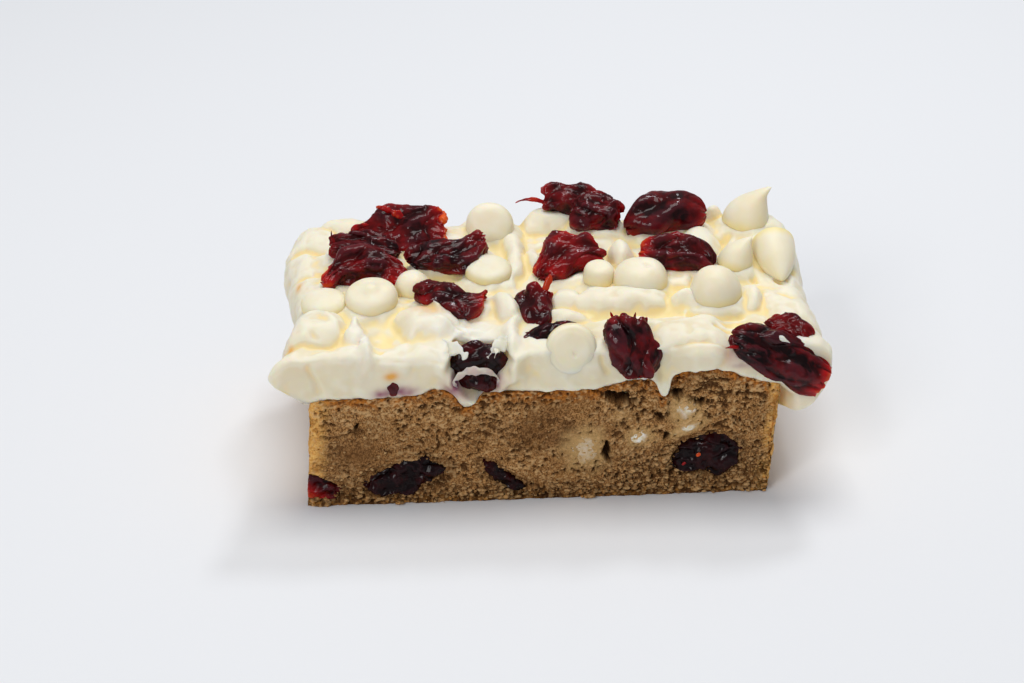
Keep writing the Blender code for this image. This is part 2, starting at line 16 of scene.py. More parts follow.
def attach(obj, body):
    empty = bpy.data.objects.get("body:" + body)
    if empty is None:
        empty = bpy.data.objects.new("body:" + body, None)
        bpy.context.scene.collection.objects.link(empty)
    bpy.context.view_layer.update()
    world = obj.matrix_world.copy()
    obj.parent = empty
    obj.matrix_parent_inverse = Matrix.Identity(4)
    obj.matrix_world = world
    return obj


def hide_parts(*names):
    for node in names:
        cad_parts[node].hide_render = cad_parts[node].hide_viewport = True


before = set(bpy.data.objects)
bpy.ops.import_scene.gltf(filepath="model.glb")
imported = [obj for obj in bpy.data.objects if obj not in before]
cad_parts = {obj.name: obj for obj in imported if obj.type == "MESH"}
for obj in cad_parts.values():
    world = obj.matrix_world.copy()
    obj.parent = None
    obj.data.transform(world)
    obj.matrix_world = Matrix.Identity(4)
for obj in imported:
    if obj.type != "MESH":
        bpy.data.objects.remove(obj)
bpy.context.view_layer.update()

MM = 0.001
BODY = "root"

# Cake slab
CAKE_WIDTH = 85.0
CAKE_DEPTH = 50.0
CAKE_HEIGHT = 22.4
SIDE_LEAN = 1.8            # how far the top lies to the right of the foot
SIDE_DROP = 1.2            # how far the baked top drops at a pan side
SIDE_ROUND = 1.6           # and the width over which most of that drop lies
FRONT = -CAKE_DEPTH / 2
BACK = CAKE_DEPTH / 2
CAKE_COLUMNS = (520, 56, 160, 56)    # grid points along the front, right, back and left faces
CAKE_ROWS = 120
CAP_LEVELS = (0.9, 0.7, 0.4)         # smaller rings that close the top, as shares of its outline
GRAIN_COUNT = 12000        # grains drawn for the front cut, of which about a third are kept

# Frosting
FROSTING_FRONT = 31.7      # height of the level top at the front cut
FROSTING_BACK = 33.3       # and at the back cut
FROSTING_FLOOR = 18.3      # height of the closing face inside the cake
FLOOR_REACH = 36.5         # half width of that face
FLOOR_RIM = 38.5           # half width at which the overhangs reach it
WIDEST = 27.2              # height at which the overhangs stand out furthest
LEFT_ROOT = -43.4          # where the overhangs meet the pan sides
RIGHT_ROOT = 45.4
SHOULDER = 4.5             # width of the rounding between the top and the outer edge
EDGE_ROUND = 1.4           # rounding of the cut edges
SEAM = 0.7                 # half height of the step at the cake's cut edge
TUCK = 1.3                 # how far the frosting tucks in behind that edge
DEEP_TUCK = 4.2            # and how far lower down
LUMP_FOOT = 29.5           # height from which the lumps rise
LUMP_BLEND = 0.35          # size of the soft join between them

# Grid of the frosting
OVERHANG_STEPS = 50        # grid lines round each overhang
TOP_COLUMNS = 300          # across the top
CUT_STEPS = 35             # down each cut face
TOP_ROWS = 158             # from the front cut to the back one

# Swells of the cake's top: x, y, width, reach in depth, rise
TOP_SWELLS = [
    (-18, -25, 2.6, 12, 1.4),
    (30.5, -22, 8.5, 22, 4.3),
    (17, -25, 4, 14, 1.6),
    (-2, -10, 14, 20, 0.9),
    (-28, 18, 12, 14, 1.6),
    (16, 24, 8, 12, 2.2),
]
# Where frosting runs down into a crack of the cut edge: x, y, width to its left, width to its
# right, reach, depth
TOP_CRACKS = [
    (-12.4, -25, 1.6, 1.5, 3, 3),
    (23.2, -25, 1.1, 0.6, 3, 4.2),
    (-4, 25, 1.8, 1.8, 3, 3),
]

# Outer edge of the frosting above the pan sides: y, x
LEFT_EDGE = [(-25, -48.6), (-20, -45.8), (-14, -44.9), (-7, -43.4), (4, -45.2), (14, -46.8), (25, -45.6)]
RIGHT_EDGE = [(-25, 54), (-18, 52.4), (-8, 51.7), (5, 51.6), (15, 52.2), (25, 50.6)]
# Lower edge of the two overhangs: y, z
LEFT_HEM = [(-25, 23.2), (-12, 21.6), (0, 22.8), (12, 20.8), (25, 22.4)]
RIGHT_HEM = [(-25, 15.9), (-15, 18.4), (0, 19.8), (12, 17.9), (25, 20.2)]
# How far the frosting stands proud of the front cut: x, reach
FRONT_PROUD = [
    (-48, 0), (-38, 0.6), (-20, 0.5), (-14, 0), (-6, 0.1), (3, 0.9),
    (10, 0.9), (14, 0.2), (22, 0.4), (29, 1.9), (37, 1.2), (44, 0.4), (54, 0.2),
]

# Lumps of the frosting: x, y, top, half length, half width, turn in degrees, squareness
LUMPS = [
    (-40, 19, 35, 6.5, 7.5, 10, 2.2),
    (-35, 23, 36, 8, 4.5, 0, 2.2),
    (-43.2, 11, 33.6, 4.2, 6.5, 0, 2),
    (-41.5, -1, 32.4, 4, 5, 0, 2),
    (-40.2, -15.4, 34.4, 6.2, 5.6, 0, 3.2),
    (-32.4, -18.6, 34.2, 1.6, 4.2, -12, 2),
    (-19.6, -15.4, 35, 5.2, 6, 20, 2.6),
    (-23.6, -22, 31.9, 2.4, 2.2, 0, 2),
    (-33, -24, 32.4, 9, 2.6, 4, 2.4),
    (-5.4, -11, 35.2, 2.7, 5.4, 0, 2),
    (-2.6, 9, 35.4, 2.6, 13, -3, 2),
    (3.8, 22.6, 36.4, 6, 5.2, 0, 2),
    (1, 5.4, 35.6, 3, 5.4, 8, 2),
    (17.4, 7.6, 36.2, 3, 4.8, 0, 2.2),
    (16.4, -9.8, 35, 10, 3.3, -1, 2.6),
    (6.2, -8.6, 34.6, 4.2, 3.8, 0, 2),
    (5.8, -14, 33.4, 4.4, 2.3, -6, 2),
    (28.4, -10.6, 34.4, 4.4, 2.8, 0, 2),
    (28.2, -21.8, 33.6, 7.4, 5, 0, 2.6),
    (32.8, 11.6, 36.2, 4.8, 6, 0, 2.2),
    (36.8, 23.6, 35.8, 2.4, 2.4, 0, 2.4),
    (48.2, 20.6, 35, 3.4, 5.4, 0, 2.2),
    (40.2, -9.4, 34.2, 2.4, 4.8, -6, 2),
    (46.6, -10.6, 33.2, 5, 9, 0, 2.4),
    (48.6, 7, 33.8, 3.4, 8, 0, 2.2),
    (27.6, -3, 33.8, 3, 2.6, 0, 3),
    (-14, 17, 35.2, 6, 6, 0, 2),
    (12, 13, 34.6, 7, 5, 0, 2),
]
# Hollows of the frosting: x, y, depth, half length, half width
HOLLOWS = [
    (-27.4, -18.6, 2.2, 3.6, 3.4),
    (35.8, -17.4, 1.6, 2.6, 1.8),
    (-10.2, -23.8, 3, 4.2, 3.2),
    (-36.6, 4, 0.9, 5, 3.6),
    (43, -4, 0.9, 3.4, 3),
]

# Ridges and grooves drawn over the frosting's top: from x, y to x, y, half width, height
TOP_FOLDS = [
    (-31.6, -16.5, -30.6, -24.5, 0.8, 1.5),
    (-38, -13, -34, -19, 0.9, 0.6),
    (-39.5, -19.5, -35.5, -20.5, 1.2, -1),
    (-31, -22.5, -28, -23.2, 1, -0.9),
    (-44, 4, -40, 6, 0.8, -0.7),
    (-43, 14, -38.5, 12.5, 0.8, -0.8),
    (-40, 24, -36, 17.5, 0.9, -0.7),
    (-20.5, -10, -17, -13.5, 0.7, 0.6),
    (-18.5, -12.5, -13, -15.5, 0.6, 0.7),
    (-17, -17, -12.5, -19.5, 0.6, 0.6),
    (-3, -9.5, -4.8, -22.5, 1.3, 1.3),
    (-26, -11.5, -22, -10, 0.9, -0.7),
    (2.5, 12, 5.5, 17, 0.9, -0.8),
    (-1, -4, 3.5, -7, 0.8, -0.8),
    (11.5, -14.2, 26.5, -13.6, 1, -0.9),
    (28.5, -14.8, 38, -15.4, 0.8, -1.2),
    (33, -20, 37.5, -22, 0.7, -1),
    (27, -12, 31.5, -8.5, 1.2, 0.9),
    (22, -17.4, 33, -17.6, 1.2, 0.5),
    (41.6, 4, 42.2, -2.5, 0.8, -1.4),
    (46.6, -2, 47.4, -4, 0.7, -1.2),
    (37.5, 12.5, 40, 17, 0.9, -1.3),
    (24.5, -6.5, 24.9, -0.5, 0.6, -0.9),
    (22.5, 9.5, 26.5, 10.5, 0.9, -0.8),
    (44.5, -7, 50, -13.5, 1, -0.5),
    (-22, 22, -12, 23.5, 1.2, -0.9),
    (15, 23, 22, 20, 1, -0.8),
]
# Folds of the front wall: from x, z to x, z, half width, height
FRONT_FOLDS = [
    (-43, 31, -29, 31.8, 1.5, 0.6),
    (-41, 30, -39, 24.5, 0.8, -0.5),
    (-29, 31.5, -23.5, 28.8, 1, 0.5),
    (-27, 30.2, -17, 30.2, 1, 0.5),
    (-35, 26, -28, 24.6, 1.6, 0.35),
    (-16.5, 31, -16.8, 25.5, 1, 0.5),
    (-4, 31, -4.4, 25.5, 0.9, 0.5),
    (-1, 28, 1.5, 25, 1.3, -0.4),
    (11.8, 31, 12.6, 26.5, 0.8, -0.5),
    (21.6, 31, 22.8, 25.5, 0.9, -0.6),
    (23.5, 31.5, 33, 32, 1.6, 0.7),
    (34, 29, 33, 27.5, 1, -0.4),
    (46, 21, 51, 24, 1.2, -0.3),
]
# Stains of berry juice in the frosting: x, y, z, half width, half height, purple share, orange share
STAINS = [
    (-25.9, -25.5, 27.4, 1.2, 0.9, 0, 1.2),
    (-23.6, -25.5, 24, 2.2, 1.1, 1.2, 0),
    (-27.8, -25.5, 23.8, 1.6, 1, 1, 0),
    (-14.6, -25.5, 25.2, 1.9, 1.9, 1.2, 0),
    (-6.8, -25.5, 25.4, 1.4, 1.8, 0.9, 0),
    (-10.6, -25.5, 23.2, 4, 1.4, 0.5, 0),
    (-19, -13.6, 34.5, 3, 2.2, 0.15, 0.5),
    (-43.3, 3, 31, 0.9, 0.9, 0, 0.9),
    (-44.3, -14, 31, 0.7, 1.2, 0, 0.8),
    (-43.7, -21, 30.5, 0.6, 0.8, 0, 0.8),
    (27.6, 0, 33.6, 3.2, 2.6, 0, 0.35),
    (35, -26, 29.5, 1.6, 1.4, 0.5, 0.1),
    (37, -25.5, 27.6, 3, 0.8, 0.5, 0),
    (48.5, -25, 25, 3, 1.2, 0.4, 0),
]
STAIN_DEPTH = 2.0          # how far they all reach from front to back

# Dents of the front wall round the sunken berry: x, z, half width, half height, depth
DENTS = [
    (-10.1, 29.4, 5, 3.8, 2.6),
    (-10.7, 25.5, 3.5, 2.8, 2.3),
]

# White chocolate chips: base centre, radius, height, bluntness of the edge, nib, how far the tip
# curls to the right, tilt and heading in degrees
CHIPS = [
    ((-29.4, -7.6, 32.8), 4.8, 3.3, 3.6, 0.9, 0, 14, -90),
    ((-38.1, -7.4, 32.2), 4.2, 2.4, 2.8, 0, 0, 10, -110),
    ((-6.9, 19.6, 34.4), 4.6, 4.2, 3.6, 0, 0, 53, -90),
    ((-7.7, 1.6, 33.2), 4.5, 2.3, 3.6, 0, 0, 5, -60),
    ((-22, -2.4, 32.4), 3.5, 3.6, 2.2, 0, 0, 10, -60),
    ((6.4, -22.4, 30.2), 4.6, 2.8, 4.5, 0.2, 0, 70, -90),
    ((33.9, -9.4, 32.3), 4.8, 6, 2.2, 0, 0, 5, 180),
    ((20.4, -4, 33), 5, 4.4, 2.6, 0, 0, 6, -90),
    ((12.8, -2.2, 32.8), 2.9, 3.7, 4, 0, 0, 8, -90),
    ((46.2, 6.8, 35.2), 4.2, 9.5, 1.8, 0.8, 0, 104, -86),
    ((42.6, 19.8, 33.3), 4.6, 6.2, 1.8, 1.6, 1.6, 8, 0),
    ((38.4, 1.6, 33.3), 3.4, 5.2, 1.8, 0.8, 1, 14, 20),
]
CUT_CHIP = 6               # this one is cut through and lies in the front wall
# Pits in chips by their number: x, y, reach
CHIP_PITS = {6: (0.6, -0.8, 0.4), 8: (1.3, -0.4, math.sqrt(0.5))}

# Dried cranberries on the frosting: centre; length, width, thickness; turn, pitch,
# roll in degrees; bend and swerve of the spine; depth of the fold; bluntness of the ends
BERRIES = [
    ((-23, 15.4, 36.2), (18.4, 10.4, 4.6), (-3, 4, 36), 0.6, 0, 0.2, 0.62),
    ((-31.1, 9.6, 35.7), (13.5, 6.3, 5.2), (-8, -4, 15), 0.8, 0.5, 0.25, 0.55),
    ((-30.7, 0.4, 34.9), (15.6, 8, 6.4), (2, 0, 20), 4.2, 0, 0.35, 0.55),
    ((-14.8, 6.2, 36.3), (16.4, 7.2, 5.4), (22, 6, 20), -2.8, -0.8, 0.2, 0.6),
    ((-14.4, -10.2, 35), (14.8, 6.2, 4.6), (-4, -3, 25), -1.6, -1.2, 0.2, 0.6),
    ((-10.2, -23.3, 27.1), (11, 9.2, 5.4), (0, 0, 76), 1, 0, 0.35, 0.6),
    ((2.4, -20, 31.2), (12, 4.4, 3.6), (20, 8, 20), 0.6, 0, 0.1, 0.6),
    ((0.6, -12, 32.8), (11, 7, 4.4), (60, 30, 0), 0.8, 0.8, 0.2, 0.85),
    ((7.9, 2.6, 34.9), (13.8, 9, 7), (24, 8, 25), 2, 0, 0.3, 0.6),
    ((8.6, 23, 37.8), (12, 6.6, 6), (-8, -3, 25), 0.6, 0, 0.2, 0.6),
    ((13.6, 18.4, 36.6), (11, 8.8, 7), (-10, -8, 20), 0.8, 0, 0.2, 0.55),
    ((26.8, 17, 36.4), (15.6, 9.2, 8), (8, 6, 25), 2, 0, 0.12, 0.6),
    ((27.4, 2.4, 35.2), (14.4, 8.2, 6.6), (-10, -8, 22), 1, 0.6, 0.4, 0.6),
    ((17.9, -23.6, 30.4), (12.8, 8.6, 5.6), (92, 58, 4), 0.6, 0.6, 0.2, 0.55),
    ((44.2, -25.4, 28.1), (20.5, 8.6, 7), (-6, -29, 50), 0.6, 0, 0.25, 0.55),
    ((46, -20.8, 31.2), (8.8, 5.2, 3.8), (-30, -12, 30), 0.4, 0, 0.15, 0.5),
    ((-25.6, -25, 24.9), (3.6, 2.2, 1.8), (90, 84, 0), 0, 0, 0, 0.6),
]
SUNKEN_BERRY = 6           # lies deep in the front wall, with frosting torn over it
# Finish of the same berries: height of the wrinkles in millimetres; pleats round them, their
# twist and height; how red the thin rims, the two ends and all the rest are (0 to 1), a red that is
# partly the skin's own and partly painted light let through; how deep the two ends are dished
BERRY_LOOKS = [
    (0.7, (5, 1.6, 0.8), (0.6, 0.2, 0.95, 0.05), (0, 2.2)),
    (0.9, (4, 0.6, 0.5), (0.1, 0.1, 0, 0.02), (0.6, 0)),
    (0.8, (6, 0.5, 0.7), (0.25, 0.25, 0.1, 0.09), (0, 0)),
    (0.8, (5, 0.9, 0.7), (0.1, 0, 0.2, 0.02), (0, 1.2)),
    (0.75, (5, 0.8, 0.6), (0.2, 0.1, 0.75, 0.06), (0.5, 2)),
    (0.5, (4, 0.6, 0.3), (0, 0, 0, 0), (0, 0)),
    (0.4, (4, 0.4, 0.3), (0.05, 0.4, 0, 0), (0, 0)),
    (0.8, (4, 1.2, 0.6), (0.3, 0.1, 0.4, 0.08), (0, 1.5)),
    (0.8, (5, 0.9, 0.5), (0.4, 0.15, 0.4, 0.14), (0, 0.8)),
    (0.75, (4, 0.8, 0.5), (0.4, 0.55, 0.2, 0.06), (1.5, 0)),
    (1.1, (3, 1.5, 0.5), (0.2, 0.1, 0.3, 0.05), (0.8, 1.2)),
    (0.25, (3, 0.3, 0.3), (0.2, 0, 0.2, 0.02), (0, 0)),
    (0.7, (5, 0.4, 0.6), (0.3, 0.4, 0, 0.12), (0.8, 0)),
    (0.8, (6, 0.9, 0.7), (0.12, 0.1, 0.2, 0), (1.2, 1.4)),
    (0.6, (7, 0.4, 0.9), (0.08, 0, 0.62, 0), (0, 2.2)),
    (0.7, (4, 0.8, 0.5), (0.3, 0.1, 0.4, 0.08), (0, 1)),
    (0.12, (3, 0.5, 0.1), (0.2, 0.2, 0.2, 0.1), (0, 0)),
]

# Torn frosting beside the sunken berry and smeared on another: points, width, thickness,
# share of the width left at the end, raggedness, purple share
TORN_FROSTING = [
    ([(-14.2, -25.6, 24.6), (-14.2, -26.5, 27.3), (-11, -27, 28.9), (-7.7, -26.6, 27.6), (-6.7, -25.6, 24.8)],
     1, 0.4, 0.9, 1.6, 0.38),
    ([(-17.6, -21, 30.2), (-14.7, -23.8, 31.3), (-12.3, -26.4, 31)], 3.8, 1, 0.14, 0.7, 0),
    ([(-3.2, -20.6, 30.6), (-6, -23.5, 31.9), (-8.6, -26.5, 31)], 4.2, 1.1, 0.16, 0.6, 0),
    ([(-6.7, -23.2, 30.8), (-7, -25.4, 31.7), (-7.4, -26.6, 30.9)], 1.8, 0.8, 0.2, 0.6, 0),
    ([(42.8, -26, 33.2), (44, -26.6, 32.7), (45.2, -26.8, 32)], 0.9, 0.5, 0.6, 0.7, 0),
]
# Stems and torn threads of berry skin: points, width, share of the width left at the end, redness
BERRY_THREADS = [
    ([(-23.4, 16, 38.6), (-26.2, 16.8, 40.2), (-28.6, 17, 40.7)], 2.2, 0.2, 0.5),
    ([(-33.4, 13.2, 37.4), (-32.2, 13.8, 38.2), (-30, 14.2, 38.4)], 1.4, 0.6, 0.4),
    ([(1.4, -9.8, 34), (2.8, -8.4, 35.6), (3.5, -7.5, 37.6)], 1.3, 0.7, 0.5),
    ([(5, 23, 37.2), (1.2, 23.8, 38.1), (-1.8, 23.8, 37.4)], 1, 0.4, 0.45),
    ([(37.4, -26.2, 31), (35.4, -26.9, 31.6), (33.6, -26.8, 31.4)], 0.7, 0.5, 0.25),
    ([(14.8, -20.6, 33), (14.1, -20.2, 34.8), (13.7, -20, 36)], 0.9, 0.3, 0.35),
    ([(17.4, -20.4, 33), (18, -20, 34.6), (18.2, -19.8, 35.6)], 1, 0.3, 0.3),
    ([(-36.3, 10.2, 36.6), (-37, 10.6, 37.9), (-37, 10.8, 39.1)], 0.6, 0.4, 0.2),
    ([(28.9, -25.7, 8.7), (29.3, -25.8, 8.9), (29.7, -25.7, 9.1)], 0.6, 1, 0.66),
    ([(26.3, -25.4, 6.6), (26.7, -25.5, 6.9), (27, -25.4, 7.2)], 0.5, 1, 0.45),
]

# Cranberries in the cut faces: centre; length, width, thickness; turn, pitch, roll in degrees;
# bluntness of the ends; the cut they lie open in
BAKED_BERRIES = [
    ((-39.7, -23.2, 3.6), (6.6, 5, 4.2), (4, -8, 0), 0.45, FRONT),
    ((-23.9, -22.8, 5.6), (15.6, 7, 5.6), (0, 12, 0), 0.5, FRONT),
    ((-6.4, -23.6, 4.8), (8.6, 4.4, 2.9), (0, -38, 0), 0.55, FRONT),
    ((31.3, -22.6, 8.2), (12, 7.6, 8.6), (0, 8, 0), 0.5, FRONT),
    ((-29, 23, 13), (10.5, 7, 7.6), (0, 16, 0), 0.5, BACK),
    ((5.5, 23.2, 5.6), (13.5, 6.6, 4.8), (0, -7, 0), 0.55, BACK),
    ((33, 23, 15.4), (8.6, 6.4, 7.2), (0, -30, 0), 0.5, BACK),
]
CORNER_BERRY = 1           # shows its skin at the corner of the slab
# White chocolate in the cut faces: centre; length, depth, height; pitch in degrees; how white
# its middle is (0 to 1); cut face
BAKED_CHOCOLATE = [
    ((8.8, -23.2, 10.4), (6.4, 5.6, 7.2), 0, 0.35, FRONT),
    ((18.5, -23.4, 12.7), (4.6, 4.4, 3.2), 12, 1, FRONT),
    ((26.9, -23.2, 17.6), (5, 5.6, 4.6), -8, 0.9, FRONT),
    ((27.2, -23.6, 14), (5.8, 4.4, 1.7), 24, 1, FRONT),
    ((-12.5, 23.2, 14.6), (7.4, 5.6, 5.4), 10, 0.6, BACK),
    ((20, 23.2, 8.6), (6.2, 5.4, 4.6), -18, 0.6, BACK),
]

# Open holes in the cut faces: centre and half sizes
HOLES = [
    ((12.6, FRONT, 9.5), (0.9, 2.2, 2.6)),
    ((13.4, FRONT, 21.2), (1.3, 2.6, 1.2)),
    ((15.4, FRONT, 20.4), (2, 3, 1.3)),
    ((17.2, FRONT, 19.9), (1.2, 2.4, 0.9)),
    ((25.6, FRONT, 21.6), (1.3, 2.2, 1.1)),
    ((29.6, FRONT, 19.8), (0.8, 1.5, 0.7)),
    ((22.2, FRONT, 16.8), (1, 1.4, 0.8)),
    ((23.2, FRONT, 12.4), (0.9, 1.5, 1)),
    ((-32.6, FRONT, 16.6), (0.6, 1.4, 0.7)),
    ((4.6, FRONT, 9.4), (0.4, 1, 0.35)),
    ((-19, BACK, 6.4), (1.4, 2, 1.1)),
    ((13, BACK, 18.2), (2.4, 2.2, 1.2)),
]
# Dense crumb of the front cut: x, z, half width, half height, strength
DENSE_CRUMB = [(-33.5, 11, 7, 4.2, 1), (3, 15, 9.5, 5.5, 0.8), (-12, 14, 8, 3, 0.45)]

# Light let through frosting and white chocolate: share, how far red, green and blue go, millimetres
CREAMY_GLOW = (0.45, (1.0, 0.66, 0.30), 3.0)

# Floor, lights and camera, in metres and degrees
FLOOR_HALF = 6.0
WORLD_STRENGTH = 0.34
# Lights: name, place, target, side length, watts, colour
LIGHTS = [
    ("overhead", (0.03, 0.10, 0.72), (0, 0, 0.03), 0.32, 2.3, (1.0, 0.99, 0.97)),
    ("front_fill", (-0.5, -0.9, 0.7), (0, 0, 0.02), 0.4, 3.3, (1.0, 0.99, 0.98)),
    ("sparkle", (0.20, 0.42, 0.65), (0, 0, 0.03), 0.12, 1.2, (0.93, 0.96, 1.0)),
    ("front_sparkle", (-0.30, -0.45, 0.62), (0, 0, 0.03), 0.08, 0.50, (0.93, 0.96, 1.0)),
]
CAMERA_ANGLES = (28.5, -1.3, 1.4)    # elevation, azimuth, roll
CAMERA_PLACE = (-0.01274, -0.40238, 0.23826)


# Fields and grids

def lattice(ix, iy, iz, seed):
    """Value from -1 to 1 for each whole-number lattice point, by scrambling its bits."""
    h = (ix * 73856093) ^ (iy * 19349663) ^ (iz * 83492791) ^ (seed * 1640531527)
    h = (h & 0xFFFFFFFF).astype(np.uint64)
    for shift, factor in ((16, 0x7FEB352D), (15, 0x846CA68B)):
        h = ((h ^ (h >> np.uint64(shift))) * np.uint64(factor)) & np.uint64(0xFFFFFFFF)
    h = h ^ (h >> np.uint64(16))
    return h.astype(float) / 2147483647.5 - 1


def noise(x, y, z, size, seed):
    """Smooth field from -1 to 1: lattice values at this spacing, turned askew and blended by a quintic step."""
    x, y, z = np.broadcast_arrays(x / size + 0.37 * seed, y / size - 0.61 * seed, z / size + 0.23 * seed)
    x, y, z = 0.8 * x - 0.6 * y, 0.48 * x + 0.64 * y - 0.6 * z, 0.36 * x + 0.48 * y + 0.8 * z
    cells = [np.floor(a).astype(np.int64) for a in (x, y, z)]
    shares = [a - c for a, c in zip((x, y, z), cells)]
    shares = [s * s * s * (s * (s * 6 - 15) + 10) for s in shares]
    total = 0.0
    for corner in range(8):
        steps = (corner & 1, corner >> 1 & 1, corner >> 2)
        weight = 1.0
        for step, share in zip(steps, shares):
            weight = weight * (share if step else 1 - share)
        total = total + weight * lattice(*(c + s for c, s in zip(cells, steps)), seed)
    return total


def noises(place, *layers):
    """Sum of noises at a place (x, y, z), each given as its height, size and seed."""
    return sum(height * noise(*place, size, seed) for height, size, seed in layers)


def nearest_cell(x, y, z, size, seed):
    """Distance to the nearest of random points, one in each lattice cell, and that cell's own value 0 to 1."""
    x, y, z = np.broadcast_arrays(x / size, y / size, z / size)
    cells = [np.floor(a).astype(np.int64) for a in (x, y, z)]
    best = np.full(x.shape, 9.0)
    value = np.zeros(x.shape)
    for step in range(27):
        near = [c + s for c, s in zip(cells, (step % 3 - 1, step // 3 % 3 - 1, step // 9 - 1))]
        places = [n + 0.5 + 0.42 * lattice(*near, seed + k) for k, n in enumerate(near)]
        gap = sum((a - p) ** 2 for a, p in zip((x, y, z), places))
        closer = gap < best
        best = np.where(closer, gap, best)
        value = np.where(closer, lattice(*near, seed + 3) / 2 + 0.5, value)
    return np.sqrt(best) * size, value


def smooth(value, low, high):
    """Smooth step from 0 at low to 1 at high."""
    share = np.clip((value - low) / (high - low), 0, 1)
    return share * share * (3 - 2 * share)


def bell(*shares):
    """Bell curve: e to the power of minus the sum of the squares."""
    return np.exp(-sum(share ** 2 for share in shares))


def through(points, position):
    """Smooth curve through (position, value) pairs, level at each of them."""
    places, values = np.array(points, float).T
    position = np.clip(position, places[0], places[-1])
    step = np.clip(np.searchsorted(places, position, side="right") - 1, 0, len(places) - 2)
    share = smooth(position, places[step], places[step + 1])
    return values[step] + (values[step + 1] - values[step]) * share


def turned(x, y, centre, degrees):
    """Coordinates along and across a direction turned by this angle, measured from a centre."""
    c, s = math.cos(math.radians(degrees)), math.sin(math.radians(degrees))
    x, y = x - centre[0], y - centre[1]
    return x * c + y * s, y * c - x * s


def blur(field, reach, ring):
    """Mean of a grid field over a square window that reaches this many steps; ring closes the columns."""
    for axis in (0, 1):
        widths = [(0, 0)] * field.ndim
        widths[axis] = (reach + 1, reach)
        mode = "wrap" if ring and axis == 1 else "edge"
        sums = np.cumsum(np.pad(field, widths, mode=mode), axis=axis)
        size = 2 * reach + 1
        upper = np.take(sums, range(size, sums.shape[axis]), axis=axis)
        lower = np.take(sums, range(0, sums.shape[axis] - size), axis=axis)
        field = (upper - lower) / size
    return field


def grid_normals(points, ring):
    """Unit normals of a grid of points, from the cross product of its two directions."""
    along = np.gradient(points, axis=0)
    if ring:
        across = np.roll(points, -1, axis=1) - np.roll(points, 1, axis=1)
    else:
        across = np.gradient(points, axis=1)
    normals = np.cross(across, along)
    return normals / np.maximum(np.linalg.norm(normals, axis=-1, keepdims=True), 1e-9)


def outward_normals(points, middle):
    """Unit normals of a ring grid, turned away from its middle."""
    normals = grid_normals(points, True)
    return -normals if np.sum(normals * (points - middle)) < 0 else normals


def hollowness(points, normals, reach, ring):
    """How far each grid point lies below the mean of its neighbours, along its normal."""
    return np.sum((blur(points, reach, ring) - points) * normals, axis=-1)


def grid_faces(rows, columns, ring):
    """Quads between the points of a grid numbered row by row."""
    row = np.arange(rows - 1)[:, None] * columns
    column = np.arange(columns if ring else columns - 1)[None, :]
    after = (column + 1) % columns
    return np.stack([row + column, row + after, row + columns + after, row + columns + column], -1).reshape(-1, 4)


def fan(rim, centre):
    """Triangles from a closed rim of point numbers to a centre point."""
    return np.stack([rim, np.roll(rim, -1), np.full(len(rim), centre)], -1)


def volume(points, faces):
    """Signed volume inside closed faces."""
    total = 0.0
    for group in faces:
        corners = points[group]
        for k in range(1, group.shape[1] - 1):
            total += np.sum(corners[:, 0] * np.cross(corners[:, k], corners[:, k + 1])) / 6
    return total


def make_piece(name, points, faces, material, nodes, fields):
    """Mesh object from closed faces, turned outwards, that rides on the body."""
    if volume(points, faces) < 0:
        faces = [group[:, ::-1] for group in faces]
    mesh = bpy.data.meshes.new(name)
    mesh.vertices.add(len(points))
    mesh.vertices.foreach_set("co", (points * MM).astype(np.float32).ravel())
    corners = np.concatenate([group.ravel() for group in faces])
    sizes = np.concatenate([np.full(len(group), group.shape[1]) for group in faces])
    mesh.loops.add(len(corners))
    mesh.loops.foreach_set("vertex_index", corners.astype(np.int32))
    mesh.polygons.add(len(sizes))
    mesh.polygons.foreach_set("loop_start", (np.cumsum(sizes) - sizes).astype(np.int32))
    mesh.polygons.foreach_set("use_smooth", np.ones(len(sizes), bool))
    mesh.update(calc_edges=True)
    for field, values in fields.items():
        layer = mesh.attributes.new(field, "FLOAT", "POINT")
        layer.data.foreach_set("value", values.astype(np.float32))
    mesh.materials.append(material)
    thing = bpy.data.objects.new(name, mesh)
    bpy.context.scene.collection.objects.link(thing)
    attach(thing, BODY)
    if nodes:
        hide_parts(*nodes)
    return thing


def pole_mesh(points, first_pole, last_pole):
    """Points and faces of a ring grid closed by a fan at each end."""
    rows, columns = points.shape[:2]
    flat = np.concatenate([points.reshape(-1, 3), [first_pole, last_pole]])
    rim = np.arange(columns)
    faces = [
        grid_faces(rows, columns, True),
        fan(rim[::-1], rows * columns),
        fan((rows - 1) * columns + rim, rows * columns + 1),
    ]
    return flat, faces


def make_closed(name, points, material, slot, nodes=(), **fields):
    """Piece from a ring grid whose poles are the middles of its end rings; a field is a grid or one value."""
    flat, faces = pole_mesh(points, points[0].mean(0), points[-1].mean(0))
    for field, values in fields.items():
        values = values + 0 * points[..., 0]
        fields[field] = np.concatenate([values.ravel(), [values[0].mean(), values[-1].mean()]])
    return make_piece(name, flat, faces, material, nodes, fields)


# Cake

def cake_top(x, y):
    """Height of the baked top: a level, its swells and its cracks, dropping off at the pan sides.

    The swells are bell curves, the cracks are bell curves that a hyperbolic
    tangent flattens at the bottom, and the drop is an exponential.
    """
    height = CAKE_HEIGHT + 0.0 * x
    for cx, cy, width, reach, rise in TOP_SWELLS:
        height = height + rise * bell((x - cx) / width, (y - cy) / reach)
    for cx, cy, left, right, reach, depth in TOP_CRACKS:
        shape = bell((x - cx) / np.where(x < cx, left, right), (y - cy) / reach)
        height = height - 0.88 * depth * np.tanh(1.6 * shape) / math.tanh(1.6)
    edge = CAKE_WIDTH / 2 + SIDE_LEAN - np.abs(x - SIDE_LEAN)
    return height - SIDE_DROP * np.exp(-np.maximum(edge, 0.0) / SIDE_ROUND)


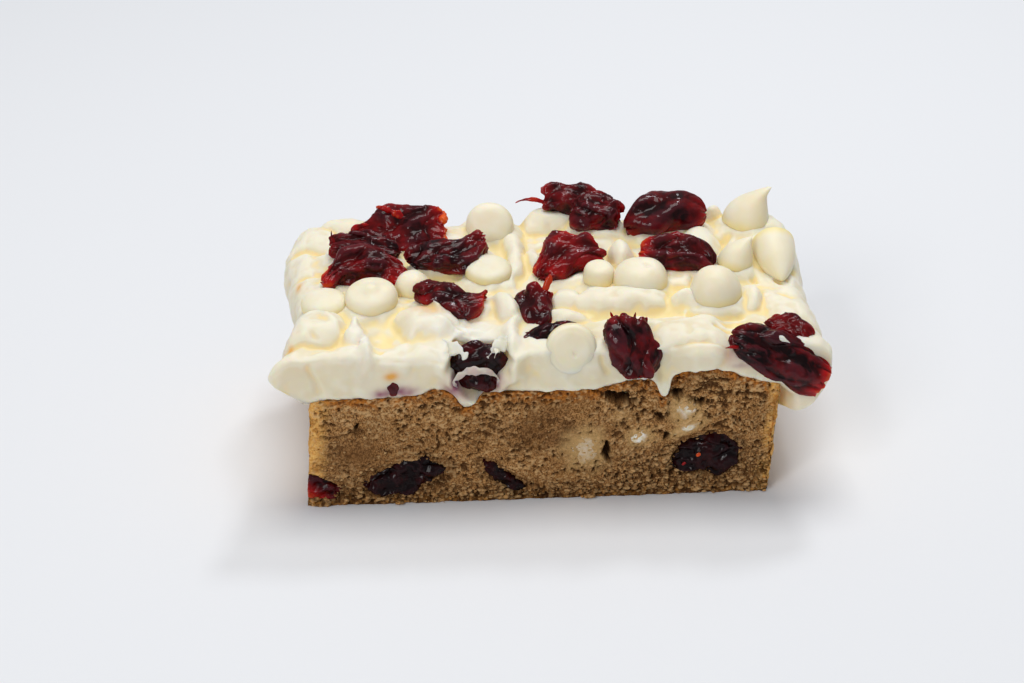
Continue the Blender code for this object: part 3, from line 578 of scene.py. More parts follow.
def leaning(z):
    """How far the slab leans to the right at this height."""
    return SIDE_LEAN * z / CAKE_HEIGHT


def across_lump(x, z, place, size, pitch):
    """Place in a cut face as shares of the half length and half height of a lump that lies in it."""
    along, across = turned(x, z, place[::2], pitch)
    return along / (size[0] / 2), across / (size[2] / 2)


def baked_distance(x, z, face):
    """Distance in the plane of a cut face to the nearest baked berry's outline, negative inside it.

    The outline is a superellipse of power 2.6.
    """
    nearest = np.full(np.shape(x), 99.0)
    for place, size, angles, _, cut in BAKED_BERRIES:
        if cut == face:
            u, v = across_lump(x, z, place, size, angles[1])
            radius = (np.abs(u) ** 2.6 + np.abs(v) ** 2.6) ** (1 / 2.6)
            nearest = np.minimum(nearest, (radius - 1) * min(size[0], size[2]) / 2)
    return nearest


def chocolate_glow(x, z, face):
    """How near a point of a cut face is to baked white chocolate, 1 on it and 0 beyond its smear."""
    glow = np.zeros(np.shape(x))
    for place, size, pitch, _, cut in BAKED_CHOCOLATE:
        if cut == face:
            u, v = across_lump(x, z, place, size, pitch)
            uneven = 0.28 * noise(x, 0 * x + face, z, 1.7, 51)
            glow = np.maximum(glow, 1 - smooth(np.hypot(u, v) + uneven, 0.75, 1.90))
    return glow


def crumb_relief(x, y, z, cut, coarse):
    """Depth of the crumb below the face, how deep its pits are, which sets the painted shade in them, and how much
    pale flecks stand out.

    Pits and flecks are where the sum of two sizes of noise, drawn out sideways,
    is high. Broader noise added to them brings them together in clusters. In
    the coarse parts round grains, one in each lattice cell, stand out.
    """
    here = (x, y, z)
    drawn_out = (x / (1.5 - 0.4 * coarse), y, z)
    pit = noises(drawn_out, (0.50, 0.62, 11), (0.50, 0.36, 12))
    pit = smooth(pit + 0.34 * noise(*here, 2.6, 13) + 0.06 * coarse, 0.35, 0.46)
    fleck = noises(drawn_out, (0.45, 0.52, 15), (0.55, 0.32, 16))
    fleck = smooth(fleck + 0.26 * noise(*here, 3.6, 17), 0.08, 0.50) * (1 - pit)
    grit = noise(*here, 0.40, 14)
    swell = noise(x / 1.4, y, z, 1.9, 18)
    bent = 0.35 * noise(*here, 1.1, 19)
    grain, value = nearest_cell(x + bent, y, z - bent, 1.05, 21)
    between = smooth(grain + 0.20 * grit, 0.34, 0.66)
    depth = 0.12 + 0.10 * grit - 0.12 * swell + 0.65 * pit - 0.14 * fleck + coarse * (0.70 * between - 0.30 * value)
    # the crevices between coarse grains also get the painted pit shade
    pit = np.maximum(pit, coarse * between * 0.7)
    depth = np.where(cut, depth, 0.05 - 0.10 * swell + 0.10 * pit)
    return depth, pit * (0.20 + 0.80 * cut), fleck


def cake_relief(x, y, z, face, cut):
    """Depth of the slab's surface everywhere, with the fields that colour it.

    The crumb is gritty at the lower right of the front cut and along its foot
    and dense at its left. Holes are half ellipsoids, and a shrunk rim runs
    round each baked berry. Pits, the crevices between coarse grains, the
    shrunk rims and the holes are darkened by painted shade.
    """
    here = (x, y, z)
    front = cut & (face == FRONT)
    coarse = np.maximum(smooth(x, 4, 20) * smooth(z, 13, 7), smooth(z, 5.0, 2.2)) * front
    coarse = np.maximum(coarse, smooth(noise(*here, 9.0, 5), 0.1, 0.7) * 0.5)
    left, middle, between = (height * bell((x - cx) / width, (z - cz) / tall) * front
                             for cx, cz, width, tall, height in DENSE_CRUMB)
    dense = np.clip(left + (middle + between) * (1 + 0.8 * noise(*here, 3.0, 55)), 0, 1)
    coarse = coarse * (1 - dense)
    depth, pore, fleck = crumb_relief(x, y, z, cut, coarse)
    depth = depth * (1 - 0.70 * dense)
    pore = pore * (1 - 0.75 * dense)
    glow = np.zeros(x.shape)
    rim = np.zeros(x.shape)
    for side in (FRONT, BACK):
        on_side = (face == side) & cut
        distance = baked_distance(x, z, side) + 0.5 * noise(*here, 1.7, 56)
        ring = bell((distance - 0.25) / 0.45)
        # painted shade in the shrunk gap round each baked berry
        rim = rim + 0.6 * on_side * ring
        depth = depth + on_side * (0.7 * ring + 1.2 * smooth(distance, 0.1, -0.8))
        glow = glow + on_side * chocolate_glow(x, z, side)
    glow = glow + 0.5 * front * bell((x - 15.4) / 1.9, (z - 17.0) / 1.9)
    depth = depth - 0.10 * glow * (1 - pore)
    hole = np.zeros(x.shape)
    bent_x = x + noises(here, (0.55, 1.3, 41), (0.3, 0.6, 43))
    bent_z = z + noises(here, (0.55, 1.3, 42), (0.3, 0.6, 44))
    for place, half in HOLES:
        inside = 1 - ((bent_x - place[0]) / half[0]) ** 2 - ((bent_z - place[2]) / half[2]) ** 2
        inside = np.where((face == place[1]) & cut, np.clip(inside, 0, 1), 0)
        depth = depth + 1.3 * half[1] * np.sqrt(inside)
        # painted shade inside each hole
        hole = np.maximum(hole, smooth(inside, 0.0, 0.4))
    left_gap = x + CAKE_WIDTH / 2 - leaning(z)
    right_gap = CAKE_WIDTH / 2 + leaning(z) - x
    crust_left = smooth(left_gap + 0.5 * noise(*here, 1.6, 46), 4.2, 0.2)
    crust_right = smooth(right_gap + 0.9 * noise(*here, 1.5, 47), 3.2, 0.7)
    pore = pore * (1 - 0.8 * crust_left * front)
    # pore and hole paint shade into pits, crevices, shrunk rims and holes
    fields = {
        "pore": np.maximum(pore, rim),
        "hole": hole,
        "dense": dense,
        "glow": glow,
        "crust": np.maximum(crust_left, crust_right),
        "toast": smooth(cake_top(x, y) - z + noises(here, (0.9, 1.2, 49), (0.5, 3.4, 50)), 2.7, 0.4),
        "foot": smooth(z + 0.8 * noise(*here, 1.6, 48), 2.3, 0.4),
        "tone": fleck * (0.35 + 0.65 * cut) * (1 - dense),
    }
    return depth, coarse, fields


def make_cake(material):
    """Slab of crumb: rings of points round its outline, rising from the underside to under the frosting.

    A ring runs along the front cut, the right pan side, the back cut and the
    left pan side. Each point is set in by the relief, and three smaller rings
    close the top.
    """
    sides = []
    for (dx, dy), count in zip(((1, 0), (0, 1), (-1, 0), (0, -1)), CAKE_COLUMNS):
        run = np.arange(count) / count * 2 - 1
        sides.append([dx * run + dy, dy * run - dx, dy + 0 * run, -dx + 0 * run])
    u, v, out_x, out_y = np.concatenate(sides, axis=1)[:, None, :]
    share = np.linspace(0, 1, CAKE_ROWS)[:, None]
    x = u * CAKE_WIDTH / 2
    y = v * CAKE_DEPTH / 2 + 0 * share
    z = share * cake_top(x + SIDE_LEAN * share, y)
    x = x + SIDE_LEAN * share
    z = z + share ** 12 * noises((x, y, 0), (0.25, 1.7, 53), (0.25, 0.7, 54))
    face = np.where(out_y < 0, FRONT, BACK) + 0 * x
    cut = np.broadcast_to(out_y != 0, x.shape)
    depth, _, fields = cake_relief(x, y, z, face, cut)
    corner = np.minimum(1 - np.abs(np.where(out_y != 0, u, v)), 0.06) / 0.06
    corner_round = (1 - corner) ** 2 * 0.5 * (1 + 0.5 * noise(x, y, z, 2.5, 43))
    foot_round = np.exp(-z / 0.7) * 0.35 * (1 + 0.8 * noise(x, y, z, 2.0, 44))
    depth = depth * smooth(z, -0.2, 0.8) + corner_round + foot_round
    side_bulge = noises((x, y, z), (0.35, 5.0, 45), (0.22, 1.3, 57), (0.12, 0.7, 58)) * (1 - cut)
    points = np.stack([x - out_x * (depth - side_bulge), y - out_y * depth, z], -1)
    caps = []
    for level in CAP_LEVELS:
        cap_x, cap_y = points[-1, :, 0] * level, points[-1, :, 1] * level
        caps.append(np.stack([cap_x, cap_y, cake_top(cap_x, cap_y)], -1))
    points = np.concatenate([points, np.array(caps)])
    for field, values in fields.items():
        ends = np.repeat(values[-1:], len(CAP_LEVELS), axis=0)
        fields[field] = np.concatenate([values.ravel(), ends.ravel(), [0, 0]])
    flat, faces = pole_mesh(points, (0, 0, 0), (0, 0, CAKE_HEIGHT))
    flat[:, 2] = np.maximum(flat[:, 2], 0)
    return make_piece("cake_crumb", flat, faces, material, ["cake"], fields)


def icosahedron():
    """Corners and outward sides of an icosahedron of radius 1: three golden rectangles, joined at equal gaps."""
    golden = (1 + math.sqrt(5)) / 2
    corners = np.array([(0, s, t * golden) for s in (-1, 1) for t in (-1, 1)], float)
    corners = np.concatenate([np.roll(corners, k, axis=1) for k in range(3)]) / math.hypot(1, golden)
    gaps = np.linalg.norm(corners[:, None] - corners[None], axis=-1)
    near = (gaps > 0.1) & (gaps < 1.2)
    sides = [(a, b, c) for a in range(12) for b in range(a) for c in range(b)
             if near[a, b] and near[b, c] and near[a, c]]
    outward = [np.linalg.det(corners[list(side)]) > 0 for side in sides]
    return corners, np.array([side if out else side[::-1] for side, out in zip(sides, outward)])


def make_grains(material):
    """Grains of crumb that stand out of the front cut: uneven icosahedra sunk in its surface, joined."""
    number = np.arange(GRAIN_COUNT)
    draw = [lattice(number, k + 0 * number, 0 * number, 91) / 2 + 0.5 for k in range(5)]
    z = 0.3 + 27.0 * draw[1]
    x = CAKE_WIDTH * (draw[0] - 0.5) + leaning(z)
    face = FRONT + 0 * x
    depth, coarse, fields = cake_relief(x, face, z, face, np.full(x.shape, True))
    clear = (baked_distance(x, z, FRONT) > 0.15) & (fields["hole"] < 0.2)
    clear = clear & (z < cake_top(x, face) - 0.3) & (np.abs(x - leaning(z)) < CAKE_WIDTH / 2 - 0.5)
    wanted = (0.16 + 0.50 * coarse) * (1 - 0.9 * fields["dense"]) * (1 - 0.7 * fields["glow"])
    kept = clear & (draw[2] < wanted)
    size = 0.09 + 0.16 * draw[3] ** 2 + 0.18 * coarse * draw[3] ** 3
    corners, sides = icosahedron()
    count = int(kept.sum())
    owner = number[kept][:, None]
    bulge = 1 + 0.50 * lattice(owner, np.arange(12)[None, :] + 0 * owner, 0, 92)
    shape = corners[None] * bulge[..., None] * size[kept][:, None, None]
    places = np.stack([x, FRONT + depth - 0.25 * size, z], -1)[kept]
    points = (places[:, None] + shape * np.array((1.5, 0.9, 0.8))).reshape(-1, 3)
    points[:, 2] = np.maximum(points[:, 2], 0.03)
    faces = [(sides[None] + 12 * np.arange(count)[:, None, None]).reshape(-1, 3)]
    fields["tone"] = 0.25 + 0.75 * draw[4]
    # grains get less of the painted pit shade
    fields["pore"] = 0.3 * fields["pore"]
    fields = {field: np.repeat(values[kept], 12) for field, values in fields.items()}
    return make_piece("crumb_grains", points, faces, material, (), fields)


# Frosting

def footprint(x, y, place, half_length, half_width, turn):
    """Distance from an upright elliptic footprint, negative inside it."""
    along, across = turned(x, y, place, turn)
    return (np.hypot(along / half_length, across / half_width) - 1) * min(half_length, half_width)


def segment_distance(x, y, x0, y0, x1, y1):
    """Distance from a straight segment in a plane."""
    run_x, run_y = x1 - x0, y1 - y0
    share = np.clip(((x - x0) * run_x + (y - y0) * run_y) / (run_x ** 2 + run_y ** 2), 0, 1)
    return np.hypot(x - x0 - share * run_x, y - y0 - share * run_y)


def frosting_top(x, y):
    """Height of the frosting: a gentle rise to the back, lumps joined to it, hollows and folds.

    Low sine swells run over the level. A lump is a superellipsoid, and the
    logarithm of a sum of exponentials joins it to the rest. The frosting is
    drawn up in a rim round every berry that lies nearly level and every chip
    but the cut one.
    """
    share = np.clip((y - FRONT) / CAKE_DEPTH, 0, 1)
    level = FROSTING_FRONT + (FROSTING_BACK - FROSTING_FRONT) * share
    level = level + 0.35 * np.sin(x / 6.1 + 0.8) * np.cos(y / 5.3) + 0.2 * np.sin(x / 2.7 + y / 3.9)
    total = np.exp(level / LUMP_BLEND - FROSTING_BACK / LUMP_BLEND)
    wobble_x = x + 0.8 * noise(x, y, 0, 3.6, 61)
    wobble_y = y + 0.8 * noise(x, y, 0, 3.6, 62)
    for cx, cy, top, length, width, turn, square in LUMPS:
        u, v = turned(wobble_x, wobble_y, (cx, cy), turn)
        inside = np.clip(1 - (np.abs(u) / length) ** square - (np.abs(v) / width) ** square, 0, 1)
        height = LUMP_FOOT + (top - LUMP_FOOT) * inside ** (1 / square)
        total = total + np.exp((height - FROSTING_BACK) / LUMP_BLEND) * (inside > 0)
    height = FROSTING_BACK + LUMP_BLEND * np.log(total)
    for cx, cy, depth, length, width in HOLLOWS:
        height = height - depth * bell((x - cx) / length, (y - cy) / width)
    for *ends, width, rise in TOP_FOLDS:
        height = height + rise * bell(segment_distance(wobble_x, wobble_y, *ends) / width)
    for place, size, angles, *_ in BERRIES:
        if abs(angles[1]) < 12:
            distance = footprint(x, y, place, size[0] * 0.44, size[1] * 0.44, angles[0])
            wanted = place[2] - 0.22 * size[2] + 0.4 * noise(x, y, 0, 2.4, 63)
            height = height + np.maximum(wanted - height, 0) * smooth(distance, 2.4, -0.4) ** 1.5
    for number, (place, radius, tall, *_) in enumerate(CHIPS, 1):
        if number != CUT_CHIP:
            distance = footprint(x, y, place, radius, radius, 0)
            wanted = place[2] + min(0.15 * tall, 0.8) + 0.35 * noise(x, y, 0, 2.4, 64)
            height = height + np.maximum(wanted - height, 0) * smooth(distance, 3.2, -0.5) ** 2
    return height


def overhang(x, z, past, root, edge, hem, point):
    """Roll the columns past the shoulder round an overhang and back under it.

    Steps 0 to 3 follow a quarter ellipse out to the edge, 3 to 6 one in to the
    hem at the root, and 6 to 7 a straight line to the rim inside the cake. The
    sines and cosines of the ellipses are raised to a power that is more than 1
    where the overhang ends in a point.
    """
    outer = np.clip(past / 3, 0, 1) * math.pi / 2
    under = np.clip((past - 3) / 3, 0, 1) * math.pi / 2
    rolled_x = x + (edge - x) * np.sin(outer) ** point
    rolled_z = WIDEST + (z - WIDEST) * np.maximum(np.cos(outer), 0) ** point
    rolled_x = np.where(under > 0, root + (edge - root) * np.maximum(np.cos(under), 0) ** point, rolled_x)
    rolled_z = np.where(under > 0, WIDEST - (WIDEST - hem) * np.sin(under) ** point, rolled_z)
    share = (FLOOR_RIM - FLOOR_REACH) / (abs(root) - FLOOR_REACH)
    rim_z = FROSTING_FLOOR + (hem - FROSTING_FLOOR) * share - 0.4
    inner = np.clip(past - 6, 0, 1)
    rolled_x = rolled_x + (math.copysign(FLOOR_RIM, root) - rolled_x) * inner
    rolled_z = rolled_z + (rim_z - rolled_z) * inner
    return np.where(past > 0, rolled_x, x), np.where(past > 0, rolled_z, z)


def frosting_sheet():
    """Grid that runs from under the left overhang, over the top, to under the right, before its fine relief.

    The end rows run down the two cut faces, tuck in below the cake's top edge
    and close inside the cake. With the points come the quarter of the way down
    that each has reached, the share of it that lies below the cake's edge, how
    much of it shows and whether it is on the front wall.
    """
    past = np.concatenate([np.linspace(7, 6, 3)[:-1], np.linspace(6, 0, OVERHANG_STEPS)[:-1]])
    column = np.concatenate([-past, np.linspace(0, 1, TOP_COLUMNS), 1 + past[::-1]])
    left_past, right_past = np.clip(-column, 0, 7), np.clip(column - 1, 0, 7)
    share = np.clip(column, 0, 1)[None, :]
    down_steps = np.concatenate([np.linspace(1, 0.78, 3)[:-1], np.linspace(0.78, 0, CUT_STEPS)[:-1]])
    depth_steps = np.linspace(0, 1, TOP_ROWS)
    row_down = np.concatenate([down_steps, 0 * depth_steps, down_steps[::-1]])[:, None]
    row_depth = np.concatenate([0 * down_steps, depth_steps, 1 + 0 * down_steps])[:, None]
    y = FRONT + CAKE_DEPTH * row_depth + 0 * share
    near_edge = np.exp(-np.minimum(y - FRONT, BACK - y) / EDGE_ROUND)
    rounding = 0.7 * near_edge
    left, right = through(LEFT_EDGE, y) + rounding, through(RIGHT_EDGE, y) - rounding
    x = left + SHOULDER + (right - left - 2 * SHOULDER) * share
    z = frosting_top(x, y) - 1.1 * near_edge
    pointed = 1 + 0.35 * bell((y - FRONT) / 6.0)
    x, z = overhang(x, z, left_past + 0 * y, LEFT_ROOT, left, through(LEFT_HEM, y) + rounding, pointed)
    x, z = overhang(x, z, right_past + 0 * y, RIGHT_ROOT, right, through(RIGHT_HEM, y) + rounding, 1.0)
    drop = z - FROSTING_FLOOR
    ragged = noises((x, 0 * x, y), (0.35, 2.6, 71), (0.2, 1.1, 72))
    sill = np.clip((z - cake_top(x, y) - SEAM + ragged) / np.maximum(drop, SEAM), 0.3, 0.75)
    sink = np.clip((z - cake_top(x, y) + SEAM + ragged) / np.maximum(drop, SEAM), sill + 0.1, 0.9)
    quarter = row_down * 4
    down = np.where(quarter < 2, sill * quarter / 2,
                    np.where(quarter < 3, sill + (sink - sill) * (quarter - 2), sink + (1 - sink) * (quarter - 3)))
    proud = np.where(row_depth < 0.5, through(FRONT_PROUD, x), 0.5 + 0.4 * np.sin(x / 4.3))
    x = x + (np.clip(x, -FLOOR_REACH, FLOOR_REACH) - x) * down
    z = z - drop * down
    under_edge = cake_top(x, y) - z + noises((x, 0 * x, 0 * z), (0.3, 2.3, 83), (0.18, 0.8, 84))
    inside = smooth(np.abs(x - leaning(z)), CAKE_WIDTH / 2 + 3.6, CAKE_WIDTH / 2 - 0.2)
    below = np.clip((under_edge + SEAM) / (2 * SEAM), 0, 1) * inside
    deep = smooth(under_edge, SEAM, 3 * SEAM) * inside
    shift = smooth(quarter, 0, 0.8) * proud * (1 - below)
    tuck = TUCK * below + (DEEP_TUCK - TUCK) * deep
    y = y + np.where(row_depth < 0.5, -1, 1) * shift + (1 - 2 * row_depth) * tuck
    shown = smooth(row_down, 0.92, 0.7) * smooth(left_past + right_past, 6.4, 5.8)
    return np.stack([x, y, z], -1), quarter, below, shown, row_depth < 0.02


def make_frosting(material):
    """Blanket of frosting: noise and folds move every point of its sheet along its normal, then dents press it in."""
    points, quarter, below, shown, on_front = frosting_sheet()
    x, y, z = here = np.moveaxis(points, -1, 0).copy()
    roughly = smooth(noise(*here, 7.0, 75), -0.1, 0.5)
    torn = 0.8 * bell((x + 12) / 7.5, (y + 19) / 5.0) * smooth(z, 28, 31) + bell((x + 31) / 2.2, (y + 21) / 4.5)
    torn = np.clip(torn, 0, 1)
    smear = noises(here, (0.36, 4.6, 73), (0.20, 2.1, 74), (0.06, 1.2, 86), (0.025 + 0.05 * roughly, 0.9, 76))
    tatter = np.abs(noise(x / 1.6, y, z, 1.5, 77))
    smear = smear + torn * (0.35 - 0.6 * tatter + 0.06 * noise(*here, 0.6, 78))
    on_front = on_front * (1 - below) * smooth(quarter, 0.0, 0.4)
    bent_x = x + 0.6 * noise(*here, 3.0, 79)
    for *ends, width, rise in FRONT_FOLDS:
        smear = smear + on_front * rise * bell(segment_distance(bent_x, z, *ends) / width)
    points = points + grid_normals(points, False) * (smear * shown * (1 - 0.8 * below))[..., None]
    for cx, cz, half_x, half_z, press in DENTS:
        distance = np.hypot((points[..., 0] - cx) / half_x, (points[..., 2] - cz) / half_z)
        distance = distance + 0.16 * noise(*here, 2.0, 85)
        shift = press * (smooth(distance, 1.2, 0.85) - 0.4 * bell((distance - 1.35) / 0.28))
        points[..., 1] = points[..., 1] + shift * smooth(points[..., 1], -20, -23) * (1 - below)
    normals = grid_normals(points, False)
    # crease: how far a point lies in a hollow (positive) or on a bump (negative); the colour paints hollows yellower
    # as painted glow of bounced and let-through light and bumps paler as a painted highlight
    fine, broad = hollowness(points, normals, 3, False), hollowness(points, normals, 10, False)
    crease = np.clip(fine * 6.0 + broad * 0.55 - 0.05, -1, 1) * (1 - 0.8 * torn)
    crease = crease * (1 - 0.55 * smooth(quarter, 0.0, 0.4))
    purple, orange = np.zeros(x.shape), np.zeros(x.shape)
    patchy = 1 + 0.4 * noise(*here, 1.2, 80)
    for sx, sy, sz, half_x, half_z, violet, amber in STAINS:
        gaps = (points[..., 0] - sx) / half_x, (points[..., 1] - sy) / STAIN_DEPTH, (points[..., 2] - sz) / half_z
        spot = patchy * bell(*gaps)
        purple = purple + violet * spot
        orange = orange + amber * spot
    rows, columns = x.shape
    flat = np.concatenate([points.reshape(-1, 3), [[0, 0, FROSTING_FLOOR]]])
    number = np.arange(rows * columns).reshape(rows, columns)
    rim = np.concatenate([number[0, :-1], number[:-1, -1], number[-1, :0:-1], number[:0:-1, 0]])
    faces = [grid_faces(rows, columns, False), fan(rim[::-1], rows * columns)]
    fields = {"crease": crease, "torn": torn, "purple": purple, "orange": orange}
    fields = {field: np.append(values, 0) for field, values in fields.items()}
    return make_piece("frosting_blanket", flat, faces, material, ["frosting"], fields)


# Chips

def make_chip(number, chip, material):
    """Chip: a superellipse profile turned about its axis, a little uneven, then tilted and set in place.

    The tip is carried sideways by the cube of its height. The cut chip has a
    faint ring near its rim, and two chips have a pit.
    """
    place, radius, height, blunt, nib, curl, tilt, heading = chip
    angle = np.linspace(math.pi / 2, 0.02, 48)
    share = np.concatenate([np.linspace(0.1, 0.9, 6), np.sin(angle) ** (2 / blunt)])
    lift = np.concatenate([np.zeros(6), 0.35 + height * np.cos(angle) ** (2 / blunt)])
    lift = lift + (lift > 0) * nib * bell(share / 0.3)
    around = (np.arange(96) / 96 * 2 * math.pi)[None, :]
    radial = radius * share[:, None] * (1 + 0.02 * np.sin(2 * around + number) + 0.012 * np.sin(3 * around))
    x = radial * np.cos(around)
    y = radial * np.sin(around)
    z = lift[:, None] + 0 * x
    upper = lift[:, None] > 0
    z = z + upper * (0.14 * noise(x + 31 * number, y, z, 3.2, 81) + 0.04 * noise(x, y + 17 * number, z, 1.2, 82))
    if number == CUT_CHIP:
        z = z - upper * 0.09 * bell((np.hypot(x, y) - 3.6) / 0.35)
    if number in CHIP_PITS:
        pit_x, pit_y, reach = CHIP_PITS[number]
        z = z - upper * 0.45 * bell((x - pit_x) / reach, (y - pit_y) / reach)
    x = x + curl * (np.maximum(z, 0) / height) ** 3
    turn = math.radians(heading)
    tipping = np.array(Matrix.Rotation(math.radians(tilt), 3, (-math.sin(turn), math.cos(turn), 0.0)))
    points = np.stack([x, y, z], -1) @ tipping.T + np.array(place)
    flat, faces = pole_mesh(points, np.array(place), points[-1].mean(0))
    # crease here paints the chip yellower towards its base as painted glow of light let through and bounced from the
    # frosting
    fields = {"crease": np.append(smooth(z, 2.4, 0.2) * 0.85, [0, 0])}
    name = "white_chip_%02d" % number
    return make_piece("dressed_" + name, flat, faces, material, [name], fields)


def make_strand(name, path, width, thickness, tip, ragged, seed, material, slot, **fields):
    """Strand or flap: a flattened oval carried along a smooth curve, ragged, and narrower towards its end.

    The curve is the polynomial through the given points, one for each coordinate.
    """
    rows, columns = 44, 26
    knots = np.linspace(0, 1, len(path))
    run = np.linspace(0, 1, rows)
    centre = np.stack([np.polyval(np.polyfit(knots, track, len(path) - 1), run) for track in np.array(path).T], -1)
    along = np.gradient(centre, axis=0)
    along = along / np.linalg.norm(along, axis=1, keepdims=True)
    out = np.cross(along, np.cross((0.0, -1.0, 0.6), along))
    out = out / np.linalg.norm(out, axis=1, keepdims=True)
    side = np.cross(along, out)
    around = (np.arange(columns) / columns * 2 * math.pi)[None, :, None]
    taper = (np.clip(1 - (2 * run - 1) ** 4, 0.02, 1) ** 0.8 * (1 - (1 - tip) * run))[:, None, None]
    ring = side[:, None, :] * np.cos(around) * width / 2 + out[:, None, :] * np.sin(around) * thickness / 2
    points = centre[:, None, :] + ring * taper
    rough = noises(np.moveaxis(points, -1, 0), (0.55, 1.6, seed), (0.35, 0.7, seed + 1))
    fields = {field: value * np.clip(1 + 1.5 * rough, 0.4, 1.4) for field, value in fields.items()}
    return make_closed(name, points + ring * rough[..., None] * ragged, material, slot, (), **fields)


# Berries

def berry_form(spec, rows, columns, wrinkle, pleats, seed, dish=(0.0, 0.0)):
    """Points of a dried berry: a sphere drawn out along a bent spine, then pleated and wrinkled.

    The pleats are the absolute value of a sine round the spine that twists
    along it. The folds are the absolute value of noise, stretched along the
    spine, so that rounded bulges meet in sharp valleys; one less its value
    makes the sharp ridges between dents. Each end is drawn in by its dish.
    """
    place, size, angles, bend, swerve, fold, blunt = spec
    length, width, thickness = size
    polar = np.linspace(0.04, math.pi - 0.04, rows)[:, None]
    around = (np.arange(columns) / columns * 2 * math.pi)[None, :]
    z = -np.cos(polar) + 0 * around
    waist = np.maximum(1 - z * z, 0) ** (blunt / 2 + 0.09)
    lumpy = 1 + 0.20 * noise(1.6 * np.cos(around), 1.6 * np.sin(around), 1.7 * z, 1.0, seed + 11)
    near_end = smooth(waist, 0.75, 0.2)
    along = z * length / 2 + dish[0] * near_end * (z < 0) - dish[1] * near_end * (z > 0)
    spine = bend * (2 / 3 - z * z) + swerve * np.sin(math.pi * z)
    crease = 1 - fold * bell(np.cos(around) / 0.4) * (np.sin(around) > 0)
    ripple = 1 + 0.07 * np.sin(5 * z + 3 * around + place[0])
    beside = (waist * np.cos(around) * width / 2 * lumpy + spine) * ripple
    above = waist * np.sin(around) * crease * thickness / 2 * lumpy * ripple
    here = (along, beside, above)
    local = np.stack(here, -1)
    normals = outward_normals(local, np.stack([along, spine, 0 * along], -1))
    a, b, c = (axis + noise(*here, 5.0, seed + k) * 1.4 for k, axis in enumerate(here))
    folds = np.abs(noise(a / 1.8, b, c, 2.7, seed + 4))
    ridges = 1 - np.abs(noise(a / 1.9, b, c, 1.3, seed + 5)) * 2.6
    fine = np.abs(noise(a / 1.5, b, c, 0.70, seed + 6))
    count, twist, rise = pleats
    bent = around + twist * z + 0.9 * noise(along / 2, beside, above, 4.0, seed + 9)
    pleat = 0.6 * (np.abs(np.sin(count * bent / 2)) ** 0.7 - 0.65) * (0.65 + 0.6 * noise(*here, 4.5, seed + 10))
    height = ((folds * 1.5 - 0.5) * 0.85 + 0.26 * np.maximum(ridges, 0) ** 1.5 + 0.10 * (fine * 1.5 - 0.5)) * wrinkle
    height = height + pleat * rise
    local = local + normals * (height * (0.25 + 0.75 * smooth(waist, 0.15, 0.6)))[..., None]
    ragged = 0.5 * noise(3 * np.cos(around), 3 * np.sin(around), z, 1.0, seed + 7)
    ragged = ragged + 0.22 * noise(5 * np.cos(around), 5 * np.sin(around), z, 1.0, seed + 8)
    local[..., 0] = local[..., 0] + ragged * smooth(np.abs(z), 0.6, 1.0) * np.sign(z) * min(1.0, length / 12)
    turn, pitch, roll = (math.radians(v) for v in angles)
    turning = Matrix.Rotation(turn, 3, "Z") @ Matrix.Rotation(-pitch, 3, "Y") @ Matrix.Rotation(roll, 3, "X")
    return local @ np.array(turning).T + np.array(place), z, around


def crests(points):
    """From -1 in the valleys of a wrinkled skin to 1 on its crests."""
    normals = outward_normals(points, points.mean((0, 1)))
    return np.clip(-7.0 * hollowness(points, normals, 5, True), -1, 1)


def make_berry(number, spec, look, material):
    """Dried cranberry on the frosting, with a field that says where its skin is thin and red, partly its own red and
    partly painted light let through.
    """
    wrinkle, pleats, (rim, near_end, far_end, all_over), dish = look
    rows, columns = (150, 120) if spec[1][0] > 5 else (40, 32)
    points, z, around = berry_form(spec, rows, columns, wrinkle, pleats, 100 + 20 * number, dish)
    patchy = smooth(noise(*np.moveaxis(points, -1, 0), 3.0, 200 + number), -0.3, 0.6)
    thin = rim * np.abs(np.cos(around)) ** 8 * patchy
    thin = thin + near_end * smooth(z, -0.45, -0.97) + far_end * smooth(z, 0.45, 0.97)
    crest = crests(points)
    if number == SUNKEN_BERRY:
        middle = spec[0][0] - 0.5
        points[..., 0] = middle + (points[..., 0] - middle) * (1 - 0.28 * smooth(points[..., 2], 28.2, 26.4))
    thin = np.clip(thin * (0.45 + 0.55 * patchy) * (1 + 0.6 * crest) + all_over * (0.3 + 1.4 * patchy), 0, 1)
    name = "cranberry_%02d" % number
    # the sunken berry's baked value darkens it as painted shade of the hollow it lies in
    return make_closed("dressed_" + name, points, material, "dried_cranberry", [name],
                       thin=thin, crest=crest, baked=0.6 if number == SUNKEN_BERRY else 0.0)


def level_with_cut(points, face, proud, press):
    """Press what stands past a cut face or the left pan side back to it, keeping a little of its relief."""
    out = math.copysign(1, face)
    past = out * (points[..., 1] - face) - proud
    points[..., 1] = np.where(past > 0, points[..., 1] - out * past * press, points[..., 1])
    side = leaning(points[..., 2]) - CAKE_WIDTH / 2
    points[..., 0] = np.where(points[..., 0] < side, side + (points[..., 0] - side) * 0.12, points[..., 0])
    return points


